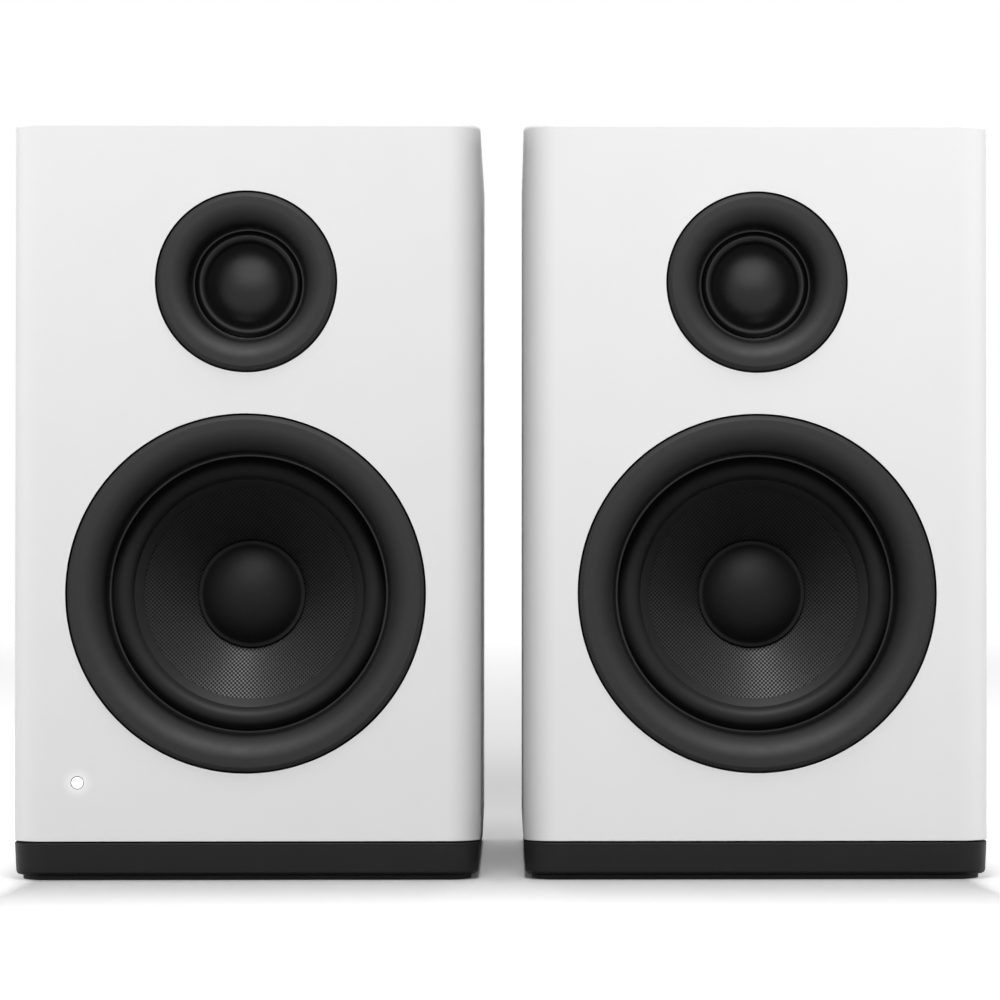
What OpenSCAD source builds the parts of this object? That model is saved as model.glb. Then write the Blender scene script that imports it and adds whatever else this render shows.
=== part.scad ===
// A pair of two-way desktop speakers: a powered left one and a passive right one.
// Millimetres. X runs to the right, Y from the front to the back and Z up; the desk is at z = 0.

/* [Cabinets] */
// Width of each cabinet
cab_w = 138; // [132:1:150]
// Depth of each cabinet from front face to back face
cab_d = 175; // [165:1:200]
// Height of each cabinet without its base
cab_h = 212; // [206:1:230]
// Space between the two cabinets as they stand
cab_gap = 12.8; // [8:0.1:60]
// Radius of the upright edges at the front
front_edge_r = 9.6; // [6:0.1:12]
// Radius of the upright edges at the back
rear_edge_r = 3; // [2:0.5:6]
// Rounding of the top edge
top_round = 1.2; // [0.6:0.1:2.4]
// Thickness of the side, top, bottom and back boards
wall = 9; // [9:0.5:12]
// Thickness of the front baffle
baffle = 15; // [15:0.5:18]

/* [Base and foot pad] */
// Height of the base's side walls
base_h = 9.5; // [8:0.1:12]
// How far the base's sides lean in from top to bottom
base_draft = 0.4; // [0.2:0.1:1]
// Rounding of the base's lower edge
base_round = 1.2; // [0.6:0.1:2]
// Open seam between the base and the cabinet
seam = 0.5; // [0.3:0.1:1]
// Height of the foot pad
pad_h = 1.4; // [1:0.1:3]
// How far the foot pad is set in from the base's edge
pad_inset = 2.6; // [2:0.1:6]

/* [Driver rings] */
// Height of the rings' flat lands above the front face
ring_stand = 1.4; // [0.6:0.1:2]
// Width of the rings' outer chamfers
ring_chamfer = 1.25; // [0.8:0.05:1.8]
// Open line round each ring in its recess
ring_gap = 0.4; // [0.3:0.05:0.5]

/* [Woofer] */
// Height of the woofer's axis above the desk
woofer_z = 84.4; // [82:0.1:90]
// Radius of the woofer's recess in the front face
woofer_recess_r = 52.9; // [52.5:0.1:56]
// Inner radius of the bezel's flat land
woofer_land_r = 48.6; // [48:0.1:49]
// Radius of the bezel's throat
woofer_throat_r = 41.5; // [41.2:0.1:42]
// Depth of the bezel's throat below the front face
woofer_throat_depth = 12.4; // [11:0.1:12.5]
// Outer radius of the half roll in section
roll_r = 3.6; // [3.4:0.1:3.7]
// Fall of the cone for each millimetre of radius
cone_slope = 0.68; // [0.6:0.01:0.75]
// Radius at which the bare cone meets the surround's inner flange
weave_r = 31.4; // [29:0.1:32]
// Radius of the dust cap
cap_r = 16.1; // [15.5:0.1:17]
// Height of the dust cap's dome
cap_rise = 6.2; // [4:0.1:8]
// Travel of the cone each way
woofer_travel = 3; // [1:0.5:4]

/* [Tweeter] */
// Height of the tweeter's axis above the desk
tweeter_z = 176.4; // [174:0.1:180]
// Radius of the tweeter's recess in the front face
tweeter_recess_r = 26.7; // [26.5:0.1:30]
// Inner radius of the waveguide's flat land
tweeter_land_r = 22.3; // [22:0.1:23]
// Radius of the waveguide's throat
tweeter_throat_r = 16.5; // [16.2:0.1:17.2]
// Depth of the waveguide's throat below the front face
tweeter_throat_depth = 9.3; // [8:0.1:9.5]
// Height of the dome
dome_rise = 4.8; // [3:0.1:6]

/* [Status light] */
// Distance of the light from the cabinet's centre line, to the left
led_x = 49.4; // [45:0.1:52]
// Height of the light above the desk
led_z = 28.7; // [27:0.1:31]
// Radius of the light pipe
led_r = 1.65; // [1.2:0.05:2]

/* [Rear panel] */
// Width of the rear panel
panel_w = 111.4; // [110:0.1:112]
// Height of the rear panel
panel_h = 181.4; // [180:0.1:182]
// Thickness of the rear panel
panel_t = 3; // [2.5:0.1:3.5]
// Height of the reflex port's axis above the desk
port_z = 178; // [172:1:182]
// Bore radius of the reflex port
port_r = 15; // [14:0.1:15.5]
// Length of the reflex port inside the cabinet
port_len = 72; // [50:1:80]
// Radius of the volume knob
knob_r = 11; // [9:0.5:12]
// Height of the volume knob's face behind the back of the cabinet
knob_reach = 13; // [11:0.5:16]
// Tilt of the power rocker to either side of level
rocker_tilt = 8; // [5:1:10]

/* [Hidden] */
$fn = 96;
// Glue line or seating gap between pieces that are fixed to each other
bond = 0.02;
// Clearance of a turning pin in its bore
pin_clear = 0.05;
// Overlap of cutting tools past a face
past = 1;
// Depth to which parts of one piece run into each other
root = 0.2;

LEFT = -1;
RIGHT = 1;
SIDES = [LEFT, RIGHT];
function side_name(side) = side == LEFT ? "left" : "right";

SHARED = [
    "cabinet", "base", "foot_pad", "screws", "wiring", "rear_panel", "port_tube",
    "tweeter_waveguide", "tweeter_surround", "tweeter_dome", "tweeter_motor",
    "woofer_bezel", "woofer_basket", "woofer_top_plate", "woofer_magnet", "woofer_yoke",
    "woofer_surround", "woofer_spider", "woofer_cone", "woofer_dust_cap", "woofer_voice_coil",
    "terminal_block", "terminal_lever_red", "terminal_lever_black"
];
ONLY_LEFT = [
    "led_lens", "led_board", "volume_knob", "volume_shaft", "volume_pot",
    "power_rocker", "power_switch_frame", "power_inlet", "rca_sockets", "aux_socket",
    "amplifier_board"
];
ONLY_RIGHT = ["crossover_board"];
NODES = concat(
    [for (side = SIDES) for (name = SHARED) str(side_name(side), "_", name)],
    [for (name = ONLY_LEFT) str("left_", name)],
    [for (name = ONLY_RIGHT) str("right_", name)]
);
node = "all";

// Places shared by both speakers
front_y = -(cab_d + knob_reach - ring_stand) / 2;
base_top = pad_h + base_h;
cab_bottom = base_top + seam;
cab_top = cab_bottom + cab_h;
panel_z = cab_bottom + cab_h / 2;

// Woofer levels along its axis, 0 at the front face and negative inwards
woofer_seat = -7;
flange_t = 2;
flange_front = woofer_seat + flange_t;
woofer_through_r = 46.5;
bezel_back = -13.05;
lip_r = 40.9;
bezel_neck_r = 44.5;
surround_t = 0.6;
surround_back = bezel_back - surround_t - bond;
roll_gap = 0.2;
roll_centre_r = lip_r - roll_gap - roll_r;
rim_r = roll_centre_r - roll_r + surround_t;
cone_t = 0.97;
coil_r = 12.9;
function cone_front(r) = surround_back - 2 * bond - cone_slope * (rim_r - r);
spider_z = -33;
spider_seat = spider_z - 0.45;
basket_foot = -40;
plate_t = 4;
magnet_t = 13;
plate_front = basket_foot - bond;
magnet_front = plate_front - plate_t - bond;
yoke_front = magnet_front - magnet_t - bond;

// Tweeter levels, counted the same way
tweeter_seat = -4;
tweeter_through_r = 22;
tweeter_lip_r = 15.97;
tweeter_back = -10.4;
tweeter_skin = 0.3;
tweeter_roll_r = 1.75;
tweeter_roll_centre_r = 14.2;
tweeter_roll_base = tweeter_back - bond - tweeter_skin;
dome_r = 12.4;
tweeter_motor_front = tweeter_roll_base - bond;
tweeter_motor_len = 17.2;

// One screw serves the drivers, the rear panel and the base
screw_head_r = 2.5;
screw_head_h = 1.6;
screw_r = 1.4;
screw_len = 8;
screw_hole_r = 1.45;
woofer_screw_r = 48.6;
tweeter_screw_r = 24.2;
tweeter_screw_seat = -10.2;
panel_screw_inset = 5;
panel_screw_x = panel_w / 2 - panel_screw_inset;
panel_screw_top = panel_h / 2 - panel_screw_inset;
panel_screw_rows = [-panel_screw_top, -panel_h / 6, panel_h / 6, panel_screw_top];
base_screw_x = cab_w / 2 - 16;
base_screw_inset = 18;
base_screw_y = [base_screw_inset, cab_d - base_screw_inset];
base_screw_seat = base_top - 3.5;

// Places on the rear panel, seen from behind and counted from the panel's centre
function on_panel(z) = z - panel_z;
terminal_y = on_panel(76);
lever_x = 9;
lever_pivot = [6.4, -1.6];
knob_y = on_panel(134);
rca_y = on_panel(106);
rca_x = 8;
aux_x = -26;
inlet_x = 20;
switch_x = -20;
power_y = on_panel(47);
board_z = -22;
board_y = on_panel(84);
board_post_inset = 4;
function board_size(side) = side == LEFT ? [96, 92, 1.6] : [66, 60, 1.6];

// Bodies that pass through the rear panel, and their clearance in it
panel_corner_r = 5;
panel_fit = 0.2;
terminal_body = [40, 22, 13];
inlet_body = [20, 12, 15];
switch_body = [13, 19, 14];
bushing_r = 4.5;
shaft_r = 3;
shaft_depth = 4.8;
knob_crown_t = 2.5;
rca_shell_r = 4.15;
aux_barrel_r = 3;
port_neck_r = port_r + 5;

// Pins of the clip levers and of the power rocker
lever_pocket_w = 12.4;
lever_pin_r = 0.9;
lever_pin_bore = 1.2;
rocker_pocket = [10, 17.8];
rocker_pin_r = 1;
rocker_pin_bore = 1.1;
rocker_pivot_z = -1.6;

// Helper shapes

module rounded_rect(w, h, r) {
    square([w - 2 * r, h], center = true);
    square([w, h - 2 * r], center = true);
    for (x = [-1, 1]) for (y = [-1, 1])
        translate([x * (w / 2 - r), y * (h / 2 - r)]) circle(r);
}

// A box whose upright edges are rounded at the front and at the back. Its section holds pairs of
// height and inset, from the bottom up, that shape the faces all the way round
module edge_rounded_box(w, d, front_r, rear_r, section) {
    last = len(section) - 1;
    module bar(from, to) polygon(concat(
        [for (s = section) [to - s[1], s[0]]],
        [for (i = [last : -1 : 0]) [from + section[i][1], section[i][0]]]));
    module corner(x, y, turn, r) translate([x, y, 0]) rotate(turn)
        rotate_extrude(angle = 90) polygon(concat(
            [[0, section[0][0]]],
            [for (s = section) [r - s[1], s[0]]],
            [[0, section[last][0]]]));
    module bar_across(reach, from) translate([-reach, 0, 0]) rotate([90, 0, 90])
        linear_extrude(2 * reach) bar(from, d);
    bar_across(w / 2 - front_r, 0);
    bar_across(w / 2 - rear_r, d / 2);
    translate([0, d - rear_r, 0]) rotate([90, 0, 0])
        linear_extrude(d - rear_r - front_r) bar(-w / 2, w / 2);
    corner(w / 2 - front_r, front_r, -90, front_r);
    corner(front_r - w / 2, front_r, 180, front_r);
    corner(w / 2 - rear_r, d - rear_r, 0, rear_r);
    corner(rear_r - w / 2, d - rear_r, 90, rear_r);
}

// Pairs of height and inset that round an upper or a lower edge of radius r
function round_up(z, r, inset = 0) =
    [for (a = [0 : 22.5 : 90]) [z - r + r * sin(a), inset + r - r * cos(a)]];
function round_down(z, r, inset = 0) =
    [for (a = [90 : -22.5 : 0]) [z + r - r * sin(a), inset + r - r * cos(a)]];

// Points of a ring's outer chamfer and of the convex quarter ellipse from its land into its throat
function ring_face(outer_r, land_r, throat_r, depth, steps = 12) = concat(
    [[outer_r, 0], [outer_r - ring_chamfer, ring_stand]],
    [for (i = [0 : steps]) let (a = 90 * i / steps, fall = ring_stand + depth)
        [land_r - (land_r - throat_r) * sin(a), fall * cos(a) - depth]]);

// Section of a spherical shell whose edge lies at radius r and height z
module dome_section(r, rise, z, t) {
    ball_r = (r * r + rise * rise) / (2 * rise);
    intersection() {
        translate([0, z + rise - ball_r]) difference() {
            circle(ball_r);
            circle(ball_r - t);
        }
        translate([0, z - t]) square([r, rise + 2 * t]);
    }
}

// Section of a half roll of outer radius r that bulges to the front
module roll_section(centre_r, z, r, t) {
    translate([centre_r, z]) intersection() {
        difference() {
            circle(r);
            circle(r - t);
        }
        translate([-2 * r, 0]) square([4 * r, 2 * r]);
    }
}

// A tube swept along a route of points
function unit(v) = v / norm(v);
function heading(p, i) = unit(p[min(i + 1, len(p) - 1)] - p[max(i - 1, 0)]);
module swept_tube(route, r, sides = 8) {
    count = len(route);
    rings = [for (i = [0 : count - 1])
        let (t = heading(route, i),
             across = unit(cross(t, abs(t[2]) < 0.9 ? [0, 0, 1] : [1, 0, 0])),
             over = cross(t, across))
        for (k = [0 : sides - 1])
            route[i] + r * (across * cos(360 * k / sides) + over * sin(360 * k / sides))];
    quads = [for (i = [0 : count - 2]) for (k = [0 : sides - 1])
        let (a = i * sides + k, b = i * sides + (k + 1) % sides)
        [a, b, b + sides, a + sides]];
    triangles = [for (q = quads) each [[q[0], q[2], q[1]], [q[0], q[3], q[2]]]];
    first = [for (k = [0 : sides - 1]) k];
    last = [for (k = [sides - 1 : -1 : 0]) (count - 1) * sides + k];
    polyhedron(points = rings, faces = concat(triangles, [first, last]));
}

// Frames: x from the speaker's centre line, y from its front face
module speaker(side) translate([side * (cab_gap + cab_w) / 2, front_y, 0]) children();
// z points out of the front
module on_front(x, z) translate([x, 0, z]) rotate([90, 0, 0]) children();
module on_woofer(side) speaker(side) on_front(0, woofer_z) children();
module on_tweeter(side) speaker(side) on_front(0, tweeter_z) children();
// z points out of the back, x to the right and y up as seen from behind
module on_back(x = 0, y = 0) translate([0, cab_d, panel_z]) rotate([90, 0, 180])
    translate([x, y, 0]) children();

// Cabinet, base and pad

module cabinet(side) {
    inner_w = cab_w - 2 * wall;
    inner_h = cab_h - 2 * wall;
    bottom_round = 0.5;
    rebate_fit = 0.3;
    ledge = 8.5;
    counterbore_r = 3.2;
    pilot_floor = 1.5;
    pilot_spare = 0.5;
    led_fit = 0.3;
    color("white") difference() {
        edge_rounded_box(cab_w, cab_d, front_edge_r, rear_edge_r,
            concat(round_down(cab_bottom, bottom_round), round_up(cab_top, top_round)));
        translate([-inner_w / 2, baffle, cab_bottom + wall])
            cube([inner_w, cab_d - baffle - wall, inner_h]);
        on_front(0, woofer_z) {
            translate([0, 0, woofer_seat]) cylinder(r = woofer_recess_r, h = past - woofer_seat);
            translate([0, 0, -baffle - past])
                cylinder(r = woofer_through_r, h = baffle + 2 * past);
            woofer_screw_places() translate([0, 0, -baffle + pilot_floor])
                cylinder(r = screw_hole_r, h = baffle);
        }
        on_front(0, tweeter_z) {
            translate([0, 0, tweeter_seat])
                cylinder(r = tweeter_recess_r, h = past - tweeter_seat);
            translate([0, 0, -baffle - past])
                cylinder(r = tweeter_through_r, h = baffle + 2 * past);
            tweeter_screw_places() {
                translate([0, 0, -baffle - past]) cylinder(r = screw_hole_r, h = baffle + past);
                translate([0, 0, -baffle - past])
                    cylinder(r = counterbore_r, h = baffle + past + tweeter_screw_seat);
            }
        }
        if (side == LEFT) on_front(-led_x, led_z)
            translate([0, 0, -baffle - past]) cylinder(r = led_r + led_fit, h = baffle + 2 * past);
        on_back() {
            translate([0, 0, -panel_t]) linear_extrude(panel_t + past)
                rounded_rect(panel_w + rebate_fit, panel_h + rebate_fit, panel_corner_r);
            translate([0, 0, -wall - past]) linear_extrude(wall + 2 * past)
                rounded_rect(panel_w - 2 * ledge, panel_h - 2 * ledge, panel_corner_r);
            panel_screw_places() translate([0, 0, -wall + pilot_spare])
                cylinder(r = screw_hole_r, h = wall);
        }
        base_screw_places() translate([0, 0, base_screw_seat])
            cylinder(r = screw_hole_r, h = screw_len + pilot_spare);
    }
}

module base() {
    deck_t = 3;
    skirt_w = 10;
    rib_t = 2;
    boss_r = 5.5;
    plateau_inset = 10.6;
    top_edge = 0.3;
    side_trim = 0.1;
    shank_fit = 0.3;
    head_fit = 0.5;
    plateau = [cab_w - 2 * plateau_inset, cab_d - 2 * plateau_inset, past + seam - bond];
    color("#262626") difference() {
        union() {
            edge_rounded_box(cab_w - 2 * side_trim, cab_d, front_edge_r, rear_edge_r,
                concat(round_down(pad_h, base_round, base_draft), round_up(base_top, top_edge)));
            translate([-plateau[0] / 2, plateau_inset, base_top - past]) cube(plateau);
        }
        difference() {
            translate([-cab_w / 2 + skirt_w, skirt_w, 0])
                cube([cab_w - 2 * skirt_w, cab_d - 2 * skirt_w, base_top - deck_t]);
            for (x = [-1, 1])
                translate([x * cab_w / 6 - rib_t / 2, 0, 0]) cube([rib_t, cab_d, base_top]);
            translate([-cab_w / 2, cab_d / 2 - rib_t / 2, 0]) cube([cab_w, rib_t, base_top]);
            base_screw_places() cylinder(r = boss_r, h = base_top);
        }
        base_screw_places() {
            cylinder(r = screw_hole_r + shank_fit, h = base_top + past);
            cylinder(r = screw_head_r + head_fit, h = base_screw_seat);
        }
    }
}

module foot_pad() {
    pad_r = front_edge_r - pad_inset;
    color("#1d1d1d") translate([0, cab_d / 2, 0]) linear_extrude(pad_h - bond)
        rounded_rect(cab_w - 2 * pad_inset, cab_d - 2 * pad_inset, pad_r);
}

// Screws

module woofer_screw_places() for (a = [45 : 90 : 315]) rotate(a)
    translate([woofer_screw_r, 0, 0]) children();
module tweeter_screw_places() for (a = [45 : 90 : 315]) rotate(a)
    translate([tweeter_screw_r, 0, 0]) children();
module panel_screw_places() for (x = [-1, 1]) for (y = panel_screw_rows)
    translate([x * panel_screw_x, y, 0]) children();
module base_screw_places() for (x = [-1, 1]) for (y = base_screw_y)
    translate([x * base_screw_x, y, 0]) children();

// The screw stands on the face under its head, with its point towards -z
module screw() {
    drive_r = 0.9;
    drive_depth = 0.9;
    crown_r = 1.5;
    shoulder_h = 0.72;
    point_len = 1.2;
    point_r = 0.3;
    difference() {
        rotate_extrude() polygon([
            [0, screw_head_h], [crown_r, screw_head_h], [screw_head_r, shoulder_h],
            [screw_head_r, bond], [screw_r, bond], [screw_r, point_len - screw_len],
            [point_r, -screw_len], [0, -screw_len]]);
        translate([0, 0, screw_head_h - drive_depth])
            cylinder(r = drive_r, h = past + drive_depth, $fn = 6);
    }
}

module screws() color("#3a3a3c") {
    on_front(0, woofer_z) woofer_screw_places() translate([0, 0, flange_front]) screw();
    on_front(0, tweeter_z) tweeter_screw_places() translate([0, 0, tweeter_screw_seat])
        rotate([180, 0, 0]) screw();
    on_back() panel_screw_places() screw();
    base_screw_places() translate([0, 0, base_screw_seat]) rotate([180, 0, 0]) screw();
}

// Woofer, about its own axis

module woofer_bezel() {
    outer_r = woofer_recess_r - ring_gap;
    rim_t = 1.3;
    lip_t = 0.35;
    web_t = 1.9;
    web_fall = 0.7;
    web_bend = 2;
    seat = flange_front + bond;
    web_back = -web_t - web_fall;
    color("#2b2b2b") rotate_extrude() polygon(concat(
        [[outer_r, seat]],
        ring_face(outer_r, woofer_land_r, woofer_throat_r, woofer_throat_depth),
        [[lip_r, bezel_back + lip_t], [lip_r, bezel_back], [bezel_neck_r, bezel_back],
         [bezel_neck_r, web_back - web_bend], [bezel_neck_r + web_t, web_back],
         [outer_r - rim_t, -web_t], [outer_r - rim_t, seat]]));
}

module woofer_basket() {
    windows = 6;
    window = [30, 24, 15];
    window_from_r = 20;
    neck_fit = 0.3;
    flange_fit = 0.4;
    hole_fit = 0.1;
    shelf_r = 39.8;
    shelf_t = 2;
    wall_t = 2.4;
    leg_t = 1.2;
    ledge_outer_r = 33.6;
    ledge_inner_r = 28.6;
    ledge_t = 1.75;
    step_t = 1.6;
    foot_r = 27.2;
    foot_t = 1.8;
    foot_wall = 1.3;
    ring_r = coil_r + 1.3;
    neck_r = bezel_neck_r + neck_fit;
    flange_r = woofer_recess_r - flange_fit;
    skin_r = woofer_through_r - neck_fit;
    shelf_front = surround_back - bond;
    shelf_back = shelf_front - shelf_t;
    color("#3c3d40") difference() {
        rotate_extrude() polygon([
            [neck_r, flange_front], [flange_r, flange_front], [flange_r, woofer_seat + bond],
            [skin_r, woofer_seat + bond], [skin_r, shelf_back],
            [ledge_outer_r, spider_seat - ledge_t], [ledge_inner_r + step_t, spider_seat - ledge_t],
            [foot_r, basket_foot], [ring_r, basket_foot], [ring_r, basket_foot + foot_t],
            [foot_r - foot_wall, basket_foot + foot_t], [ledge_inner_r, spider_seat],
            [ledge_outer_r - leg_t, spider_seat], [skin_r - wall_t, shelf_back],
            [shelf_r, shelf_back], [shelf_r, shelf_front], [neck_r, shelf_front]]);
        for (i = [0 : windows - 1]) rotate(360 / windows * i)
            translate([window_from_r, -window[1] / 2, spider_z + past]) cube(window);
        woofer_screw_places() translate([0, 0, woofer_seat - past])
            cylinder(r = screw_hole_r + hole_fit, h = flange_t + 2 * past);
    }
}

module woofer_surround() {
    lap_t = 0.5;
    bead_h = 0.35;
    roll_outer_r = roll_centre_r + roll_r;
    bead_r = rim_r - surround_t;
    color("#202020") rotate_extrude() {
        translate([roll_outer_r - surround_t, surround_back])
            square([bezel_neck_r - roll_outer_r + surround_t, surround_t]);
        roll_section(roll_centre_r, surround_back, roll_r, surround_t);
        polygon([
            [rim_r, cone_front(rim_r) + bond], [weave_r, cone_front(weave_r) + bond],
            [weave_r, cone_front(weave_r) + lap_t], [bead_r, cone_front(bead_r) + lap_t],
            [bead_r, surround_back + bead_h], [rim_r, surround_back + bead_h]]);
    }
}

module woofer_cone() {
    neck_r = coil_r + pin_clear;
    color("#35363a") rotate_extrude() polygon([
        [rim_r, cone_front(rim_r)], [neck_r, cone_front(neck_r)],
        [neck_r, cone_front(neck_r) - cone_t], [rim_r, cone_front(rim_r) - cone_t]]);
}

module woofer_dust_cap() {
    shell_t = 0.7;
    rim_w = 1.4;
    rim_h = 0.75;
    rim_rise = 0.2;
    rim_chamfer = 0.15;
    glue_w = 0.8;
    dome_edge_r = cap_r - rim_w;
    glue_r = dome_edge_r - glue_w;
    edge_z = cone_front(cap_r) + rim_h;
    dome_z = edge_z + rim_rise;
    color("#252525") rotate_extrude() {
        dome_section(dome_edge_r, cap_rise, dome_z, shell_t);
        polygon([
            [cap_r, cone_front(cap_r) + bond], [cap_r, edge_z - rim_chamfer],
            [cap_r - rim_chamfer, edge_z], [dome_edge_r, dome_z], [glue_r, dome_z],
            [glue_r, cone_front(glue_r) + bond]]);
    }
}

module woofer_voice_coil() {
    former_t = 0.5;
    winding_t = 0.4;
    top = -26.5;
    gap_middle = plate_front - plate_t / 2;
    overhang = 0.75 * woofer_travel;
    winding_half = plate_t / 2 + overhang;
    winding_top = gap_middle + winding_half;
    bottom = gap_middle - winding_half;
    color("#b87333") rotate_extrude() polygon([
        [coil_r - former_t, top], [coil_r, top], [coil_r, winding_top],
        [coil_r + winding_t, winding_top], [coil_r + winding_t, bottom],
        [coil_r - former_t, bottom]]);
}

module woofer_spider() {
    first_r = 14.4;
    waves = 4;
    wave_steps = 8;
    pitch = 3.5;
    swing = 1.1;
    half_t = 0.25;
    rim = 31.8;
    foot_w = 0.5;
    collar_h = 1.2;
    collar_t = 0.55;
    collar_r = coil_r + pin_clear;
    foot_r = first_r + waves * pitch + foot_w;
    steps = wave_steps * waves;
    crest = [for (i = [0 : steps])
        [first_r + i * pitch / wave_steps, spider_z + swing * sin(360 * i / wave_steps)]];
    color("#b58a3c") rotate_extrude() polygon(concat(
        [[collar_r, spider_z - half_t], [collar_r, spider_z + collar_h],
         [collar_r + collar_t, spider_z + collar_h], [collar_r + collar_t, spider_z + half_t]],
        [for (p = crest) p + [0, half_t]],
        [[rim, spider_z + half_t], [rim, spider_seat + bond], [foot_r, spider_seat + bond]],
        [for (i = [steps : -1 : 0]) crest[i] - [0, half_t]]));
}

module washer(inner_r, outer_r, front, t) rotate_extrude()
    translate([inner_r, front - t]) square([outer_r - inner_r, t]);

module woofer_top_plate() {
    outer_r = 31.7;
    air_gap = 0.8;
    color("#8d8f93") washer(coil_r + air_gap, outer_r, plate_front, plate_t);
}

module woofer_magnet() {
    outer_r = 34.5;
    inner_r = 16;
    color("#2f3033") washer(inner_r, outer_r, magnet_front, magnet_t);
}

module woofer_yoke() {
    air_gap = 0.9;
    outer_r = 31;
    rear_chamfer = 1;
    pole_chamfer = 0.6;
    pole_rise = 0.5;
    pole_r = coil_r - air_gap;
    pole_front = basket_foot + pole_rise;
    back = yoke_front - plate_t;
    color("#8d8f93") rotate_extrude() polygon([
        [0, pole_front], [pole_r - pole_chamfer, pole_front], [pole_r, pole_front - pole_chamfer],
        [pole_r, yoke_front], [outer_r, yoke_front], [outer_r, back + rear_chamfer],
        [outer_r - rear_chamfer, back], [0, back]]);
}

// Tweeter, about its own axis

module tweeter_waveguide() {
    neck_fit = 0.4;
    lip_t = 0.5;
    pilot_depth = 2.05;
    outer_r = tweeter_recess_r - ring_gap;
    neck_r = tweeter_through_r - neck_fit;
    seat = tweeter_seat + bond;
    color("#2b2b2b") difference() {
        rotate_extrude() polygon(concat(
            [[outer_r, seat]],
            ring_face(outer_r, tweeter_land_r, tweeter_throat_r, tweeter_throat_depth),
            [[tweeter_lip_r, tweeter_back + lip_t], [tweeter_lip_r, tweeter_back],
             [neck_r, tweeter_back], [neck_r, seat]]));
        tweeter_screw_places() translate([0, 0, tweeter_seat - past])
            cylinder(r = screw_hole_r, h = past + pilot_depth);
    }
}

module tweeter_surround() {
    flange_r = 18.4;
    leg_r = tweeter_roll_centre_r + tweeter_roll_r - tweeter_skin;
    color("#1c1c1c") rotate_extrude() {
        translate([leg_r, tweeter_roll_base]) square([flange_r - leg_r, tweeter_skin]);
        roll_section(tweeter_roll_centre_r, tweeter_roll_base, tweeter_roll_r, tweeter_skin);
    }
}

module tweeter_dome() {
    skin = 0.35;
    edge_inset = 0.2;
    edge_lift = 0.1;
    former_t = 0.4;
    former_len = 3.9;
    former_rise = 0.25;
    color("#262626") rotate_extrude() {
        dome_section(dome_r - edge_inset, dome_rise, tweeter_roll_base + edge_lift, skin);
        translate([dome_r - former_t, tweeter_roll_base - former_len])
            square([former_t, former_len + former_rise]);
    }
}

module tweeter_motor() {
    body_r = 20;
    rear_chamfer = 1;
    pole_r = 11.5;
    pole_drop = 0.9;
    gap_r = 13;
    gap_depth = 8.3;
    dish_r = 16.2;
    dish_depth = 1.7;
    front = tweeter_motor_front;
    back = front - tweeter_motor_len;
    color("#55575c") rotate_extrude() polygon([
        [0, front - pole_drop], [pole_r, front - pole_drop], [pole_r, front - gap_depth],
        [gap_r, front - gap_depth], [gap_r, front - dish_depth], [dish_r, front - dish_depth],
        [dish_r, front], [body_r, front], [body_r, back + rear_chamfer],
        [body_r - rear_chamfer, back], [0, back]]);
}

// Status light

module led_lens() {
    collar_r = 3.2;
    collar_t = 1.4;
    rim_chamfer = 0.15;
    collar_front = -baffle - bond;
    color("#f4f6ff") rotate_extrude() polygon([
        [0, 0], [led_r - rim_chamfer, 0], [led_r, -rim_chamfer], [led_r, collar_front],
        [collar_r, collar_front], [collar_r, -baffle - collar_t], [0, -baffle - collar_t]]);
}

module led_board() {
    board = [16, 10, 1.2];
    stand_off = 4.4;
    post_x = 6;
    post_r = 1.6;
    lamp_r = 1.5;
    lamp_h = 2.4;
    front = -baffle - stand_off;
    color("#2e6b3f") union() {
        translate([-board[0] / 2, -board[1] / 2, front - board[2]]) cube(board);
        translate([0, 0, front - root]) cylinder(r = lamp_r, h = root + lamp_h);
        for (x = [-post_x, post_x]) translate([x, 0, front - root])
            cylinder(r = post_r, h = root + stand_off - bond);
    }
}

// Rear panel and what it carries, seen from behind with z outwards

module rear_panel(side) {
    boss_r = 3;
    module bore(x, y, r) translate([x, y, -panel_t - past])
        cylinder(r = r + panel_fit, h = panel_t + 2 * past);
    module cutout(x, y, body) translate([x, y, -panel_t - past]) linear_extrude(panel_t + 2 * past)
        square([body[0] + 2 * panel_fit, body[1] + 2 * panel_fit], center = true);
    color("#222222") difference() {
        union() {
            translate([0, 0, -panel_t + bond]) linear_extrude(panel_t - bond)
                rounded_rect(panel_w, panel_h, panel_corner_r);
            board_post_places(side) translate([0, 0, board_z + bond])
                cylinder(r = boss_r, h = -board_z - past);
        }
        bore(0, on_panel(port_z), port_neck_r);
        panel_screw_places() bore(0, 0, screw_hole_r);
        cutout(0, terminal_y, terminal_body);
        if (side == LEFT) {
            bore(0, knob_y, bushing_r);
            for (x = [-rca_x, rca_x]) bore(x, rca_y, rca_shell_r);
            bore(aux_x, rca_y, aux_barrel_r);
            cutout(inlet_x, power_y, inlet_body);
            cutout(switch_x, power_y, switch_body);
        }
    }
}

// A box-shaped body behind the panel, joined to a plate that lies on the panel's face
module flanged_body(plate, body) {
    translate([-plate[0] / 2, -plate[1] / 2, bond]) cube(plate);
    translate([-body[0] / 2, -body[1] / 2, -body[2]]) cube(body + [0, 0, past]);
}

// A box-shaped body that stands against the panel's inner face
module inner_body(size) translate([-size[0] / 2, -size[1] / 2, -panel_t - bond - size[2]]) cube(size);

// A round neck that passes through the panel
module neck(r, reach) translate([0, 0, -panel_t - past]) cylinder(r = r, h = panel_t + past + reach);

module board_post_places(side) {
    reach = board_size(side) / 2 - board_post_inset * [1, 1, 1];
    for (x = [-1, 1]) for (y = [-1, 1])
        translate([x * reach[0], board_y + y * reach[1], 0]) children();
}

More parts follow.
